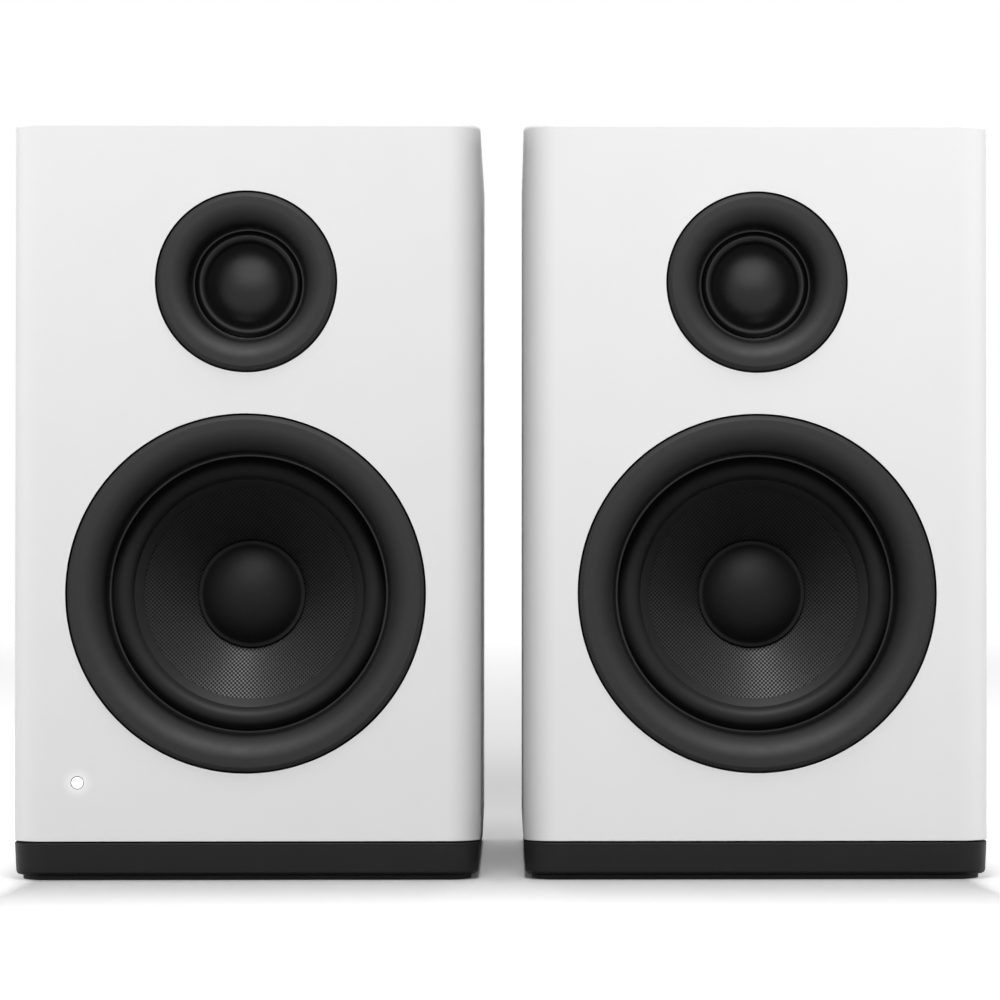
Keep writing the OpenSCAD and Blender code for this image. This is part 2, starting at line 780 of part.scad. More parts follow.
module port_tube() {
    tube_t = 2;
    flare_r = 7;
    lip = 1.5;
    rim_w = 1.6;
    rim_chamfer = 0.6;
    neck_end = -8;
    taper_end = -13;
    mouth_r = port_r + flare_r;
    edge_r = mouth_r + rim_w;
    mouth = [for (a = [0 : 7.5 : 90])
        [mouth_r - flare_r * cos(a), lip - flare_r + flare_r * sin(a)]];
    color("#242424") rotate_extrude() polygon(concat(
        [[port_r, -port_len]], mouth,
        [[edge_r - rim_chamfer, lip], [edge_r, lip - rim_chamfer], [edge_r, bond],
         [port_neck_r, bond], [port_neck_r, neck_end], [port_r + tube_t, taper_end],
         [port_r + tube_t, -port_len]]));
}

module terminal_block() {
    plate = [44, 26, 1.5];
    pocket_h = 16;
    pocket_over = 2.4;
    pocket_depth = 9.5;
    wire_hole_r = 1.4;
    wire_hole_y = -9.2;
    cut = pocket_depth + 2 * past;
    bore_len = lever_pocket_w + 2 * lever_pin_bore;
    color("#1f1f1f") difference() {
        flanged_body(plate, terminal_body);
        for (x = [-lever_x, lever_x]) translate([x, 0, 0]) {
            translate([-lever_pocket_w / 2, lever_pivot[0] + pocket_over - pocket_h, -pocket_depth])
                cube([lever_pocket_w, pocket_h, cut]);
            translate([-bore_len / 2, lever_pivot[0], lever_pivot[1]]) rotate([0, 90, 0])
                cylinder(r = lever_pin_r + pin_clear, h = bore_len);
            translate([0, wire_hole_y, -pocket_depth])
                cylinder(r = wire_hole_r, h = cut + past);
        }
    }
}

// A paddle hinged near its top that is pressed in at its lower end
module terminal_lever(tint) {
    side_play = 0.4;
    end_play = 0.5;
    paddle = [[1.7, -1.5], [1.7, 2.4], [0.6, 3.4], [-10.4, 6.6], [-11.4, 6], [-11.4, 3.2], [-2, -1.5]];
    paddle_w = lever_pocket_w - 2 * side_play;
    pin_len = lever_pocket_w + 2 * (lever_pin_bore - end_play);
    color(tint) union() {
        translate([-paddle_w / 2, 0, 0]) rotate([90, 0, 90]) linear_extrude(paddle_w) polygon(paddle);
        translate([-pin_len / 2, 0, 0]) rotate([0, 90, 0]) cylinder(r = lever_pin_r, h = pin_len);
    }
}
module lever_at(x) translate([x, terminal_y + lever_pivot[0], lever_pivot[1]]) children();

module volume_pot() {
    body = [16, 16, 8];
    bushing_top = 2.2;
    nut_r = 6.4;
    nut_h = 1.7;
    bore_floor = -panel_t - shaft_depth - root;
    color("#9a9ca0") difference() {
        union() {
            inner_body(body);
            neck(bushing_r, bushing_top);
            translate([0, 0, bond]) cylinder(r = nut_r, h = nut_h, $fn = 6);
        }
        translate([0, 0, bore_floor])
            cylinder(r = shaft_r + pin_clear, h = bushing_top + past - bore_floor);
    }
}

module volume_shaft() {
    end_gap = 0.1;
    foot = -panel_t - shaft_depth;
    color("#b0b2b6") translate([0, 0, foot])
        cylinder(r = shaft_r, h = knob_reach - knob_crown_t - end_gap - foot);
}

module volume_knob() {
    lift = 1;
    skirt_h = 1.6;
    crown_h = 0.9;
    crown_inset = 1.4;
    grip_inset = 0.4;
    flutes = 24;
    flute_r = 0.9;
    nut_pocket_r = 8;
    nut_pocket_h = 2.2;
    mark_w = 1;
    mark_depth = 0.5;
    mark_from = 0.4 * knob_r;
    mark_len = 0.38 * knob_r;
    grip_h = knob_reach - crown_h - lift;
    color("#1b1b1b") difference() {
        translate([0, 0, lift]) union() {
            cylinder(r = knob_r, h = skirt_h);
            linear_extrude(grip_h) difference() {
                circle(knob_r - grip_inset);
                for (i = [0 : flutes - 1]) rotate(360 / flutes * (i + 0.5))
                    translate([knob_r, 0]) circle(flute_r);
            }
            cylinder(r = knob_r - crown_inset, h = knob_reach - lift);
        }
        translate([0, 0, lift - past]) cylinder(r = nut_pocket_r, h = past + nut_pocket_h);
        cylinder(r = shaft_r + bond, h = knob_reach - knob_crown_t);
        translate([-mark_w / 2, mark_from, knob_reach - mark_depth]) cube([mark_w, mark_len, past]);
    }
}

module rca_sockets() {
    tints = ["#b3262a", "#e8e8e8"];
    body = [11, 11, 10];
    collar_r = 5.6;
    collar_h = 1.8;
    reach = 9;
    bore_r = 1.65;
    bore_depth = 8;
    mouth_r = 3.2;
    mouth_depth = 2;
    for (i = [0, 1]) color(tints[i]) translate([rca_x * (2 * i - 1), rca_y, 0]) difference() {
        union() {
            inner_body(body);
            neck(rca_shell_r, reach);
            translate([0, 0, bond]) cylinder(r = collar_r, h = collar_h);
        }
        translate([0, 0, reach - bore_depth]) cylinder(r = bore_r, h = bore_depth + past);
        translate([0, 0, reach - mouth_depth])
            cylinder(r1 = bore_r, r2 = mouth_r, h = mouth_depth + bond);
    }
}

module aux_socket() {
    body = [10, 12, 12];
    reach = 1.8;
    nut_r = 4.4;
    nut_h = 1.4;
    bore_r = 1.8;
    bore_depth = 12;
    color("#2a2a2c") difference() {
        union() {
            inner_body(body);
            neck(aux_barrel_r, reach);
            translate([0, 0, bond]) cylinder(r = nut_r, h = nut_h);
        }
        translate([0, 0, -bore_depth]) cylinder(r = bore_r, h = bore_depth + reach + past);
    }
}

module power_inlet() {
    plate = [25, 16, 1.6];
    cavity_r = 4.5;
    cavity_depth = 11;
    waist_step = 0.2;
    pin_x = 4.3;
    pin_r = 1.15;
    pin_drop = 2;
    cut = cavity_depth + plate[2] + past;
    color("#202020") union() {
        difference() {
            flanged_body(plate, inlet_body);
            for (x = [-pin_x, pin_x]) translate([x, 0, -cavity_depth])
                cylinder(r = cavity_r, h = cut);
            translate([-pin_x, waist_step - cavity_r, -cavity_depth])
                cube([2 * pin_x, 2 * (cavity_r - waist_step), cut]);
        }
        for (x = [-pin_x, pin_x]) translate([x, 0, -cavity_depth - past])
            cylinder(r = pin_r, h = cavity_depth + past - pin_drop);
    }
}

module power_switch_frame() {
    plate = [15.5, 22, 1.4];
    pocket_depth = 8;
    bore_len = rocker_pocket[0] + 2 * rocker_pin_bore;
    color("#1d1d1d") difference() {
        flanged_body(plate, switch_body);
        translate([-rocker_pocket[0] / 2, -rocker_pocket[1] / 2, -pocket_depth])
            cube([rocker_pocket[0], rocker_pocket[1], pocket_depth + plate[2] + past]);
        translate([-bore_len / 2, 0, rocker_pivot_z]) rotate([0, 90, 0])
            cylinder(r = rocker_pin_r + pin_clear, h = bore_len);
    }
}

// Drawn in its switched-on position, about its pins
module power_rocker() {
    side_play = 0.3;
    end_play = 0.1;
    saddle = [[-7.8, 3.9], [0, 2.6], [7.8, 3.9], [7.8, 0.6], [3, -3], [-3, -3], [-7.8, 0.6]];
    saddle_w = rocker_pocket[0] - 2 * side_play;
    pin_len = rocker_pocket[0] + 2 * (rocker_pin_bore - end_play);
    color("#161616") rotate([rocker_tilt, 0, 0]) union() {
        translate([-saddle_w / 2, 0, 0]) rotate([90, 0, 90]) linear_extrude(saddle_w) polygon(saddle);
        translate([-pin_len / 2, 0, 0]) rotate([0, 90, 0]) cylinder(r = rocker_pin_r, h = pin_len);
    }
}

// Boards inside, on the posts of the rear panel; parts stand on the inner face

module board_box(at, size) translate([at[0], at[1], -size[2]]) cube(size + [0, 0, root]);
module board_can(at, r, h) translate([at[0], at[1], -h]) cylinder(r = r, h = h + root);

module amplifier_board() {
    size = board_size(LEFT);
    transformer = [36, 30, 26];
    transformer_at = [-40, -38];
    cans = 3;
    can_r = 5;
    can_h = 16;
    can_pitch = 13;
    can_at = [10, -26];
    sink = [60, 3, 22];
    sink_at = [-30, 10];
    fins = 7;
    fin = [3, 9, 22];
    fin_pitch = (sink[0] - fin[0]) / (fins - 1);
    connector = [20, 12, 6];
    connector_at = [-10, 26];
    color("#1f5a38") translate([0, board_y, board_z - size[2]]) union() {
        translate([-size[0] / 2, -size[1] / 2, 0]) cube(size);
        board_box(transformer_at, transformer);
        for (i = [0 : cans - 1]) board_can(can_at + [can_pitch * i, 0], can_r, can_h);
        board_box(sink_at, sink);
        for (i = [0 : fins - 1]) board_box(sink_at + [fin_pitch * i, sink[1] - root], fin);
        board_box(connector_at, connector);
    }
}

module crossover_board() {
    size = board_size(RIGHT);
    coil_at = [-16, -10];
    coil_outer_r = 11;
    coil_inner_r = 5;
    coil_h = 12;
    coil_floor = 3;
    can_at = [14, -12];
    can_r = 6;
    can_h = 13;
    film = [20, 9, 8];
    film_at = [6, 8];
    color("#1f5a38") translate([0, board_y, board_z - size[2]]) union() {
        translate([-size[0] / 2, -size[1] / 2, 0]) cube(size);
        difference() {
            board_can(coil_at, coil_outer_r, coil_h);
            translate([coil_at[0], coil_at[1], -coil_h - past])
                cylinder(r = coil_inner_r, h = coil_h + past - coil_floor);
        }
        board_can(can_at, can_r, can_h);
        board_box(film_at, film);
    }
}

// Leads from the board to the drivers, a pair to each, laid clear of everything else
module wiring(side) {
    wire_r = 0.9;
    spread = 2;
    lift = 3;
    straight = 8;
    bend = 30;
    size = board_size(side);
    board_inner = cab_d + board_z - size[2];
    start_x = size[0] / 2 - 12;
    start_z = panel_z + board_y + size[1] / 2 - 3;
    woofer_tag = [25, plate_t - yoke_front, woofer_z];
    tweeter_tag = [-8, tweeter_motor_len - tweeter_motor_front, tweeter_z];
    woofer_route = [
        [start_x, board_inner - bond, start_z],
        [start_x, board_inner - straight, start_z],
        [start_x, board_inner - bend, start_z - 6],
        [start_x - 2, 90, woofer_z + 25],
        [29, 72, woofer_z + 8],
        woofer_tag + [0, lift, 0],
        woofer_tag + [0, bond, 0]];
    tweeter_route = [
        [-start_x, board_inner - bond, start_z],
        [-start_x, board_inner - straight, start_z],
        [-start_x, board_inner - bend, start_z + 10],
        [-24, 80, tweeter_z - 12],
        [-12, 50, tweeter_z - 4],
        tweeter_tag + [0, lift, 0],
        tweeter_tag + [0, bond, 0]];
    color("#992d2d") for (route = [woofer_route, tweeter_route]) for (x = [-spread, spread])
        swept_tube([for (p = route) p + [x, 0, 0]], wire_r);
}

// Every piece in its place

function drawn(name) = node == "all" || node == name;

for (side = SIDES) {
    own = side_name(side);
    if (drawn(str(own, "_cabinet"))) speaker(side) cabinet(side);
    if (drawn(str(own, "_base"))) speaker(side) base();
    if (drawn(str(own, "_foot_pad"))) speaker(side) foot_pad();
    if (drawn(str(own, "_screws"))) speaker(side) screws();
    if (drawn(str(own, "_wiring"))) speaker(side) wiring(side);
    if (drawn(str(own, "_rear_panel"))) speaker(side) on_back() rear_panel(side);
    if (drawn(str(own, "_port_tube"))) speaker(side) on_back(0, on_panel(port_z)) port_tube();
    if (drawn(str(own, "_tweeter_waveguide"))) on_tweeter(side) tweeter_waveguide();
    if (drawn(str(own, "_tweeter_surround"))) on_tweeter(side) tweeter_surround();
    if (drawn(str(own, "_tweeter_dome"))) on_tweeter(side) tweeter_dome();
    if (drawn(str(own, "_tweeter_motor"))) on_tweeter(side) tweeter_motor();
    if (drawn(str(own, "_woofer_bezel"))) on_woofer(side) woofer_bezel();
    if (drawn(str(own, "_woofer_basket"))) on_woofer(side) woofer_basket();
    if (drawn(str(own, "_woofer_top_plate"))) on_woofer(side) woofer_top_plate();
    if (drawn(str(own, "_woofer_magnet"))) on_woofer(side) woofer_magnet();
    if (drawn(str(own, "_woofer_yoke"))) on_woofer(side) woofer_yoke();
    if (drawn(str(own, "_woofer_surround"))) on_woofer(side) woofer_surround();
    if (drawn(str(own, "_woofer_spider"))) on_woofer(side) woofer_spider();
    if (drawn(str(own, "_woofer_cone"))) on_woofer(side) woofer_cone();
    if (drawn(str(own, "_woofer_dust_cap"))) on_woofer(side) woofer_dust_cap();
    if (drawn(str(own, "_woofer_voice_coil"))) on_woofer(side) woofer_voice_coil();
    if (drawn(str(own, "_terminal_block"))) speaker(side) on_back(0, terminal_y) terminal_block();
    if (drawn(str(own, "_terminal_lever_red")))
        speaker(side) on_back() lever_at(-lever_x) terminal_lever("#b3262a");
    if (drawn(str(own, "_terminal_lever_black")))
        speaker(side) on_back() lever_at(lever_x) terminal_lever("#1a1a1a");
}

if (drawn("left_led_lens")) speaker(LEFT) on_front(-led_x, led_z) led_lens();
if (drawn("left_led_board")) speaker(LEFT) on_front(-led_x, led_z) led_board();
if (drawn("left_volume_knob")) speaker(LEFT) on_back(0, knob_y) volume_knob();
if (drawn("left_volume_shaft")) speaker(LEFT) on_back(0, knob_y) volume_shaft();
if (drawn("left_volume_pot")) speaker(LEFT) on_back(0, knob_y) volume_pot();
if (drawn("left_power_rocker"))
    speaker(LEFT) on_back(switch_x, power_y) translate([0, 0, rocker_pivot_z]) power_rocker();
if (drawn("left_power_switch_frame")) speaker(LEFT) on_back(switch_x, power_y) power_switch_frame();
if (drawn("left_power_inlet")) speaker(LEFT) on_back(inlet_x, power_y) power_inlet();
if (drawn("left_rca_sockets")) speaker(LEFT) on_back() rca_sockets();
if (drawn("left_aux_socket")) speaker(LEFT) on_back(aux_x, rca_y) aux_socket();
if (drawn("left_amplifier_board")) speaker(LEFT) on_back() amplifier_board();
if (drawn("right_crossover_board")) speaker(RIGHT) on_back() crossover_board();
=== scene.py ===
"""Dresses a pair of packed desktop speakers: cabinets, drivers, status light and rear connections.

Run as a script. Sizes are in metres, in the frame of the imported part: X to the right, Y to the back, Z up.
"""

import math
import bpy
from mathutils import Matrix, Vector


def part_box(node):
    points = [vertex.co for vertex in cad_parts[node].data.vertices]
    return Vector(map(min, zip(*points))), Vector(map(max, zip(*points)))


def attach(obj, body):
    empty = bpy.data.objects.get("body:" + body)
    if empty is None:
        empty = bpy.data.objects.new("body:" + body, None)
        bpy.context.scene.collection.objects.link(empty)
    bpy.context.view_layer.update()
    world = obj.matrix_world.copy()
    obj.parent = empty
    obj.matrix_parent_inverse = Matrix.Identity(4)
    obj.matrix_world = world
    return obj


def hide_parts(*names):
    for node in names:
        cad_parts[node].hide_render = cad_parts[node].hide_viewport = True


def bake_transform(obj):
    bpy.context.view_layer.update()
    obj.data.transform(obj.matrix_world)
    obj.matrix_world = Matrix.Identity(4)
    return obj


bl_info = {
    "name": "Desktop Speakers",
    "version": (1, 0, 0),
    "blender": (4, 5, 0),
    "location": "View3D > Sidebar > Speakers",
    "description": "Builds the surfaces of a pair of two-way desktop speakers around their packed solids",
    "category": "Object",
}

from typing import NamedTuple

import bmesh
import bpy
from bpy.props import FloatProperty, FloatVectorProperty, IntProperty, PointerProperty
from mathutils import Matrix, Vector

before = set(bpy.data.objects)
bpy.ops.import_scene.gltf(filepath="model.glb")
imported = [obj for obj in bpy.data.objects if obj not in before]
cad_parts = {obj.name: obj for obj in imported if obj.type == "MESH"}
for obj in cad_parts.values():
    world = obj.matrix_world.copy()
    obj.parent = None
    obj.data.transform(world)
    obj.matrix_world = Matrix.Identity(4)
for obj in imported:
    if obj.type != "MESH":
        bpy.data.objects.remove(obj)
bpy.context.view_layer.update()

MM = 0.001
SIDES = ("left", "right")
FRONT_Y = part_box("left_cabinet")[0].y
WHITE = (1.0, 1.0, 1.0, 1.0)
# Space that keeps glued faces apart
GLUE = 0.02 * MM
# Steps of the arcs on upright edges, on roundings and on small roundings
EDGE_STEPS = 14
CURL_STEPS = 6
TRIM_STEPS = 4
# The camera's sensor in millimetres, and the point that the lamps face
SENSOR_WIDTH = 36.0
LAMP_TARGET = Vector((0.0, -0.05, 0.12))


# Places read from the imported parts


def centre_of(node):
    """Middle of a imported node's box."""
    low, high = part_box(node)
    return (low + high) / 2


def front_axis(node):
    """Point of the front plane on a driver's axis."""
    middle = centre_of(node)
    return Vector((middle.x, FRONT_Y, middle.z))


def front_height(node):
    """Height of a node's foremost point over the front plane; it is negative inside the cabinet."""
    return FRONT_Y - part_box(node)[0].y


def back_height(node):
    """Height of a node's rearmost point over the front plane."""
    return FRONT_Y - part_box(node)[1].y


def radius_of(node):
    """Outer radius of a round node whose axis runs along Y."""
    low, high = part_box(node)
    return (high.x - low.x) / 2


# Properties


def length(name, description, default):
    """A size in metres that a user may change."""
    return FloatProperty(name=name, description=description, default=default, min=0.0,
                         precision=5, unit="LENGTH", subtype="DISTANCE")


def lengths(name, description, default):
    """Sizes in metres that a user may change together."""
    return FloatVectorProperty(name=name, description=description, default=default, size=len(default),
                               min=0.0, precision=5, unit="LENGTH")


def watts(name, description, default):
    """A lamp's power in watts that a user may change."""
    return FloatProperty(name=name, description=description, default=default, min=0.0, unit="POWER")


def share(name, description, default):
    """A value from 0 to 1 that a user may change."""
    return FloatProperty(name=name, description=description, default=default, min=0.0, max=1.0,
                         subtype="FACTOR")


def colour(name, description, default):
    """A linear colour that a user may change."""
    return FloatVectorProperty(name=name, description=description, default=default, size=3,
                               min=0.0, max=1.0, subtype="COLOR")


class CabinetSizes(bpy.types.PropertyGroup):
    """Edges and boards of the cabinets and bases."""

    front_edge: length("Front edge", "Radius of the upright edges at the front", 9.6 * MM)
    rear_edge: length("Rear edge", "Radius of the upright edges at the back", 3.0 * MM)
    top_round: length("Top rounding", "Rounding of the top edge", 1.2 * MM)
    bottom_round: length("Bottom rounding", "Rounding of the cabinet's lower edge", 0.2 * MM)
    hole_round: length("Hole rounding", "Rounding where the wrap turns into a driver recess", 0.08 * MM)
    wall: length("Wall", "Thickness of the side, top, bottom and back boards", 9.0 * MM)
    baffle: length("Baffle", "Thickness of the front board", 15.0 * MM)
    woofer_recess: length("Woofer recess", "Radius of the woofer's recess", 53.05 * MM)
    woofer_seat: length("Woofer seat", "Depth of the woofer's recess", 7.0 * MM)
    woofer_through: length("Woofer hole", "Radius of the hole behind the woofer's flange", 46.5 * MM)
    tweeter_recess: length("Tweeter recess", "Radius of the tweeter's recess", 26.85 * MM)
    tweeter_seat: length("Tweeter seat", "Depth of the tweeter's recess", 4.0 * MM)
    tweeter_through: length("Tweeter hole", "Radius of the hole behind the waveguide", 22.0 * MM)
    light_hole: length("Light hole", "Radius of the hole of the status light", 1.95 * MM)
    light_seat: length("Light seat", "Depth of the status light's wider hole", 7.5 * MM)
    light_through: length("Light through", "Radius of the hole behind that of the status light", 1.8915 * MM)
    light_fit: length("Light fit", "Space round the lens of the status light", 0.09 * MM)
    light_core: length("Light core", "Radius of the lit part of the lens", 1.7 * MM)
    light_crown: length("Light crown", "Height of the lens's crown", 0.12 * MM)
    light_collar: length("Light collar", "Thickness of the lens's collar", 1.4 * MM)
    # The glow on the wrap round the status light is painted: the wrap emits light itself out to this radius.
    painted_glow_reach: length("Light bleed", "Radius to which the light bleeds into the wrap", 5.5 * MM)
    rebate_fit: length("Rebate fit", "Space between the rear panel and its rebate, both sides", 0.3 * MM)
    panel_corner: length("Panel corner", "Corner radius of the rear panel's rebate", 5.0 * MM)
    panel: length("Panel", "Thickness of the rear panel", 3.0 * MM)
    ledge: length("Ledge", "Width of the ledge behind the rear panel", 8.5 * MM)
    base_draft: length("Base draft", "Lean of the base's sides from top to bottom", 0.4 * MM)
    base_round: length("Base rounding", "Rounding of the base's lower edge", 1.2 * MM)
    base_top_edge: length("Base top edge", "Rounding of the base's upper edge", 0.2 * MM)
    base_deck: length("Base deck", "Thickness of the base's deck", 3.0 * MM)
    base_skirt: length("Base skirt", "Width of the base's solid edge", 10.0 * MM)
    base_rib: length("Base rib", "Thickness of the ribs under the base", 2.0 * MM)
    base_seam: length("Base seam", "Open seam between the base and the cabinet", 0.5 * MM)
    plateau_inset: length("Plateau inset", "Distance of the cabinet's seat from the base's edge", 10.6 * MM)
    pad_corner: length("Pad corner", "Radius of the foot pad's corners", 7.0 * MM)
    pad_round: length("Pad rounding", "Rounding of the foot pad's edges", 0.3 * MM)


class RingSizes(bpy.types.PropertyGroup):
    """Sections that the rings round the drivers share."""

    chamfer: length("Chamfer", "Width of a ring's outer chamfer", 1.25 * MM)
    foot_round: length("Foot rounding", "Rounding where the chamfer meets the ring's side", 0.1 * MM)
    crest_round: length("Crest rounding", "Rounding where the chamfer meets the land", 0.15 * MM)
    rim: length("Rim", "Thickness of the woofer ring's rim", 1.3 * MM)
    web: length("Web", "Thickness of the woofer ring's web", 1.9 * MM)
    web_fall: length("Web fall", "Depth of the web's inner end below the front", 2.66 * MM)
    lip_round: length("Lip rounding", "Rounding of a ring's inner lip", 0.1 * MM)
    lip: length("Lip", "Width and height of a ring's inner lip", 0.5 * MM)
    woofer_foot: length("Woofer foot", "Depth of the woofer ring's seat below the front", 4.98 * MM)
    tweeter_foot: length("Tweeter foot", "Depth of the tweeter ring's seat below the front", 3.98 * MM)


class WooferSizes(bpy.types.PropertyGroup):
    """Sections of the woofer's pieces."""

    land: length("Land", "Inner radius of the bezel's flat land", 49.0 * MM)
    throat: length("Throat", "Radius at the end of the bezel's flare", 42.1 * MM)
    flare_depth: length("Flare depth", "Depth of the flare's end below the front", 8.0 * MM)
    polish: lengths("Polish", "Depths below the front between which the grain turns smoother",
                    (3.0 * MM, 8.0 * MM))
    lip: length("Lip", "Inner radius of the bezel's lip", 40.9 * MM)
    neck: length("Neck", "Outer radius of the bezel's neck", 44.5 * MM)
    roll: length("Roll", "Outer radius of the half roll in section", 3.35 * MM)
    roll_centre: length("Roll centre", "Radius of the half roll's centre line", 37.4 * MM)
    skin: length("Skin", "Thickness of the rubber", 0.6 * MM)
    rim: length("Rim", "Outer radius of the cone", 34.1 * MM)
    weave: length("Weave", "Radius at which the bare weave begins", 31.4 * MM)
    neck_of_cone: length("Cone neck", "Inner radius of the cone", 12.95 * MM)
    cone_skin: length("Cone skin", "Thickness of the cone along its axis", 0.97 * MM)
    slope: FloatProperty(name="Slope", description="Fall of the cone for each unit of radius",
                         default=0.68, min=0.2, max=1.0)
    cap: length("Dust cap", "Radius of the dust cap", 16.1 * MM)
    cap_rim: length("Cap rim", "Width of the dust cap's glued rim", 1.4 * MM)
    cap_rise: length("Cap rise", "Height of the dust cap's dome", 6.2 * MM)
    cap_skin: length("Cap skin", "Thickness of the dust cap", 0.7 * MM)
    cap_step: length("Cap step", "Height of the dust cap's rim over the cone", 0.75 * MM)
    lap: length("Lap", "Thickness of the surround's flange on the cone", 0.5 * MM)
    thread: length("Thread", "Pitch of the cone's threads", 0.585 * MM)
    spider_from: length("Spider from", "Radius at which the spider's waves begin", 14.4 * MM)
    spider_pitch: length("Spider pitch", "Width of one wave of the spider", 3.5 * MM)
    spider_waves: IntProperty(name="Spider waves", description="Number of the spider's waves",
                              default=4, min=1)
    spider_swing: length("Spider swing", "Height of the spider's waves from their middle", 1.1 * MM)
    spider_skin: length("Spider skin", "Thickness of the spider", 0.5 * MM)
    spider_collar: length("Spider collar", "Height of the spider's collar on the coil", 1.2 * MM)
    spider_foot: length("Spider foot", "Depth of the spider's rim below its middle", 0.43 * MM)


class TweeterSizes(bpy.types.PropertyGroup):
    """Sections of the tweeter's visible pieces."""

    land: length("Land", "Inner radius of the waveguide's flat land", 23.0 * MM)
    throat: length("Throat", "Radius at the end of the waveguide's flare", 17.2 * MM)
    flare_depth: length("Flare depth", "Depth of the flare's end below the front", 6.5 * MM)
    polish: lengths("Polish", "Depths below the front between which the grain turns smoother",
                    (1.2 * MM, 4.5 * MM))
    lip: length("Lip", "Inner radius of the waveguide's lip", 15.97 * MM)
    neck: length("Neck", "Outer radius of the waveguide's neck", 21.6 * MM)
    roll: length("Roll", "Half of the roll's width", 1.85 * MM)
    roll_centre: length("Roll centre", "Radius of the roll's centre line", 14.25 * MM)
    roll_rise: length("Roll rise", "Height of the roll over its flange", 1.45 * MM)
    skin: length("Skin", "Thickness of the half roll and the dome", 0.3 * MM)
    dome: length("Dome", "Radius of the dome", 12.4 * MM)
    dome_rise: length("Dome rise", "Height of the dome", 4.8 * MM)
    flange: length("Flange", "Outer radius of the half roll's flange", 18.4 * MM)


class Colours(bpy.types.PropertyGroup):
    """Linear colours of the finishes."""

    wrap: colour("Wrap", "White wrap of the cabinets", (0.862, 0.862, 0.862))
    moulding: colour("Moulding", "Black mouldings round the drivers", (0.003, 0.003, 0.0031))
    panel: colour("Panel", "Black rear panels and ports", (0.016, 0.016, 0.0163))
    base: colour("Base", "Black moulded base", (0.018, 0.018, 0.0185))
    rubber: colour("Rubber", "Half roll of the woofer", (0.013, 0.013, 0.0133))
    # The recesses' near black is painted shade for the dark shadow gap round the rings.
    recess: colour("Recess", "Sealed fibreboard in the recesses", (0.006, 0.006, 0.006))
    pad: colour("Pad", "Foot pad", (0.045, 0.045, 0.045))
    thread: colour("Thread", "Threads of the woven cone", (0.030, 0.030, 0.031))
    # Near black where the weave is low: the resin's own tone and painted shade between the threads.
    gap: colour("Gap", "Resin between the threads", (0.001, 0.001, 0.001))
    cap: colour("Cap", "Cloth of the dust cap", (0.0045, 0.0045, 0.0047))
    dome: colour("Dome", "Coated cloth of the tweeter's dome", (0.008, 0.008, 0.0085))
    dome_roll: colour("Dome roll", "Half roll of the tweeter", (0.004, 0.004, 0.0042))
    lens: colour("Lens", "Clear rim of the status light", (0.55, 0.55, 0.56))
    light: colour("Light", "Glow of the status light", (1.0, 1.0, 1.0))
    spider: colour("Spider", "Impregnated centring cloth", (0.42, 0.23, 0.06))
    copper: colour("Copper", "Enamelled winding", (0.72, 0.30, 0.12))
    steel: colour("Steel", "Plated steel", (0.52, 0.52, 0.54))
    screw: colour("Screw", "Blackened screws", (0.06, 0.06, 0.065))
    ferrite: colour("Ferrite", "Ferrite magnet", (0.045, 0.045, 0.05))
    board: colour("Board", "Solder mask of the boards", (0.012, 0.075, 0.035))
    red: colour("Red", "Red markers of the connections", (0.42, 0.018, 0.020))
    white: colour("White", "White marker of a connection", (0.72, 0.72, 0.71))
    former: colour("Former", "Paper former of the voice coil", (0.28, 0.17, 0.08))


class StageSettings(bpy.types.PropertyGroup):
    """Camera and lamps."""

    camera_place: FloatVectorProperty(name="Camera place", description="Where the camera stands",
                                      default=(0.00243, -1.11740, 0.08105), size=3, unit="LENGTH",
                                      subtype="TRANSLATION")
    camera_yaw: FloatProperty(name="Camera yaw", description="Turn of the camera to the right",
                              default=0.0159, unit="ROTATION", subtype="ANGLE")
    camera_pitch: FloatProperty(name="Camera pitch", description="Turn of the camera upwards",
                                default=0.0148, unit="ROTATION", subtype="ANGLE")
    lens: FloatProperty(name="Lens", description="Focal length in millimetres", default=125.04,
                        min=10.0, unit="CAMERA")
    shift: FloatVectorProperty(name="Shift", description="Offset of the photograph's optical axis",
                               default=(-0.0653, 0.0534), size=2)
    ambient: FloatProperty(name="Ambient", description="Level of the light from all round",
                           default=0.045, min=0.0)
    key: watts("Key", "Power of the lamp above and in front", 34.0)
    overhead: watts("Overhead", "Power of the lamp straight above", 11.3)
    front: watts("Front", "Power of the lamp in front of the cabinets", 9.95)
    graze: watts("Graze", "Power of the lamp above that grazes the fronts", 4.8)
    dome: watts("Dome", "Power of the lamp that the tweeters' domes reflect", 14.3)
    left_side: watts("Left side", "Power of the lamp at the left speaker's outer front", 6.35)
    right_side: watts("Right side", "Power of the lamp at the right speaker's outer front", 7.17)
    back: watts("Back", "Power of each of the two lamps behind", 11.0)
    rim: watts("Rim", "Power of the lamp at each side", 5.5)
    floor_tone: share("Floor tone", "Grey of the floor where it is seen directly", 0.9)
    floor_bounce: share("Floor bounce", "Grey of the floor for the light that it sends back", 0.04)
    floor_from: lengths("Floor from", "Where the floor begins to turn plain white beside, in front of and "
                        "behind the speakers", (0.137, 0.12, 0.5))
    floor_soft: lengths("Floor softness", "How slowly the floor turns white beside, in front of and "
                        "behind the speakers", (0.005, 0.115, 0.63))
    floor_blur: FloatVectorProperty(name="Floor blur", description="How much softer that gets for each "
                                    "metre away from the speakers' fronts or backs", size=3,
                                    default=(0.03, 0.0, 0.0))


def cabinet_sizes():
    """Sizes of the cabinets and bases."""
    return bpy.context.scene.speaker_cabinet


def ring_sizes():
    """Sizes that the rings share."""
    return bpy.context.scene.speaker_rings


def woofer_sizes():
    """Sizes of the woofers."""
    return bpy.context.scene.speaker_woofer


def tweeter_sizes():
    """Sizes of the tweeters."""
    return bpy.context.scene.speaker_tweeter


def colours():
    """Colours of the finishes."""
    return bpy.context.scene.speaker_colours


def stage_settings():
    """Settings of the stage."""
    return bpy.context.scene.speaker_stage


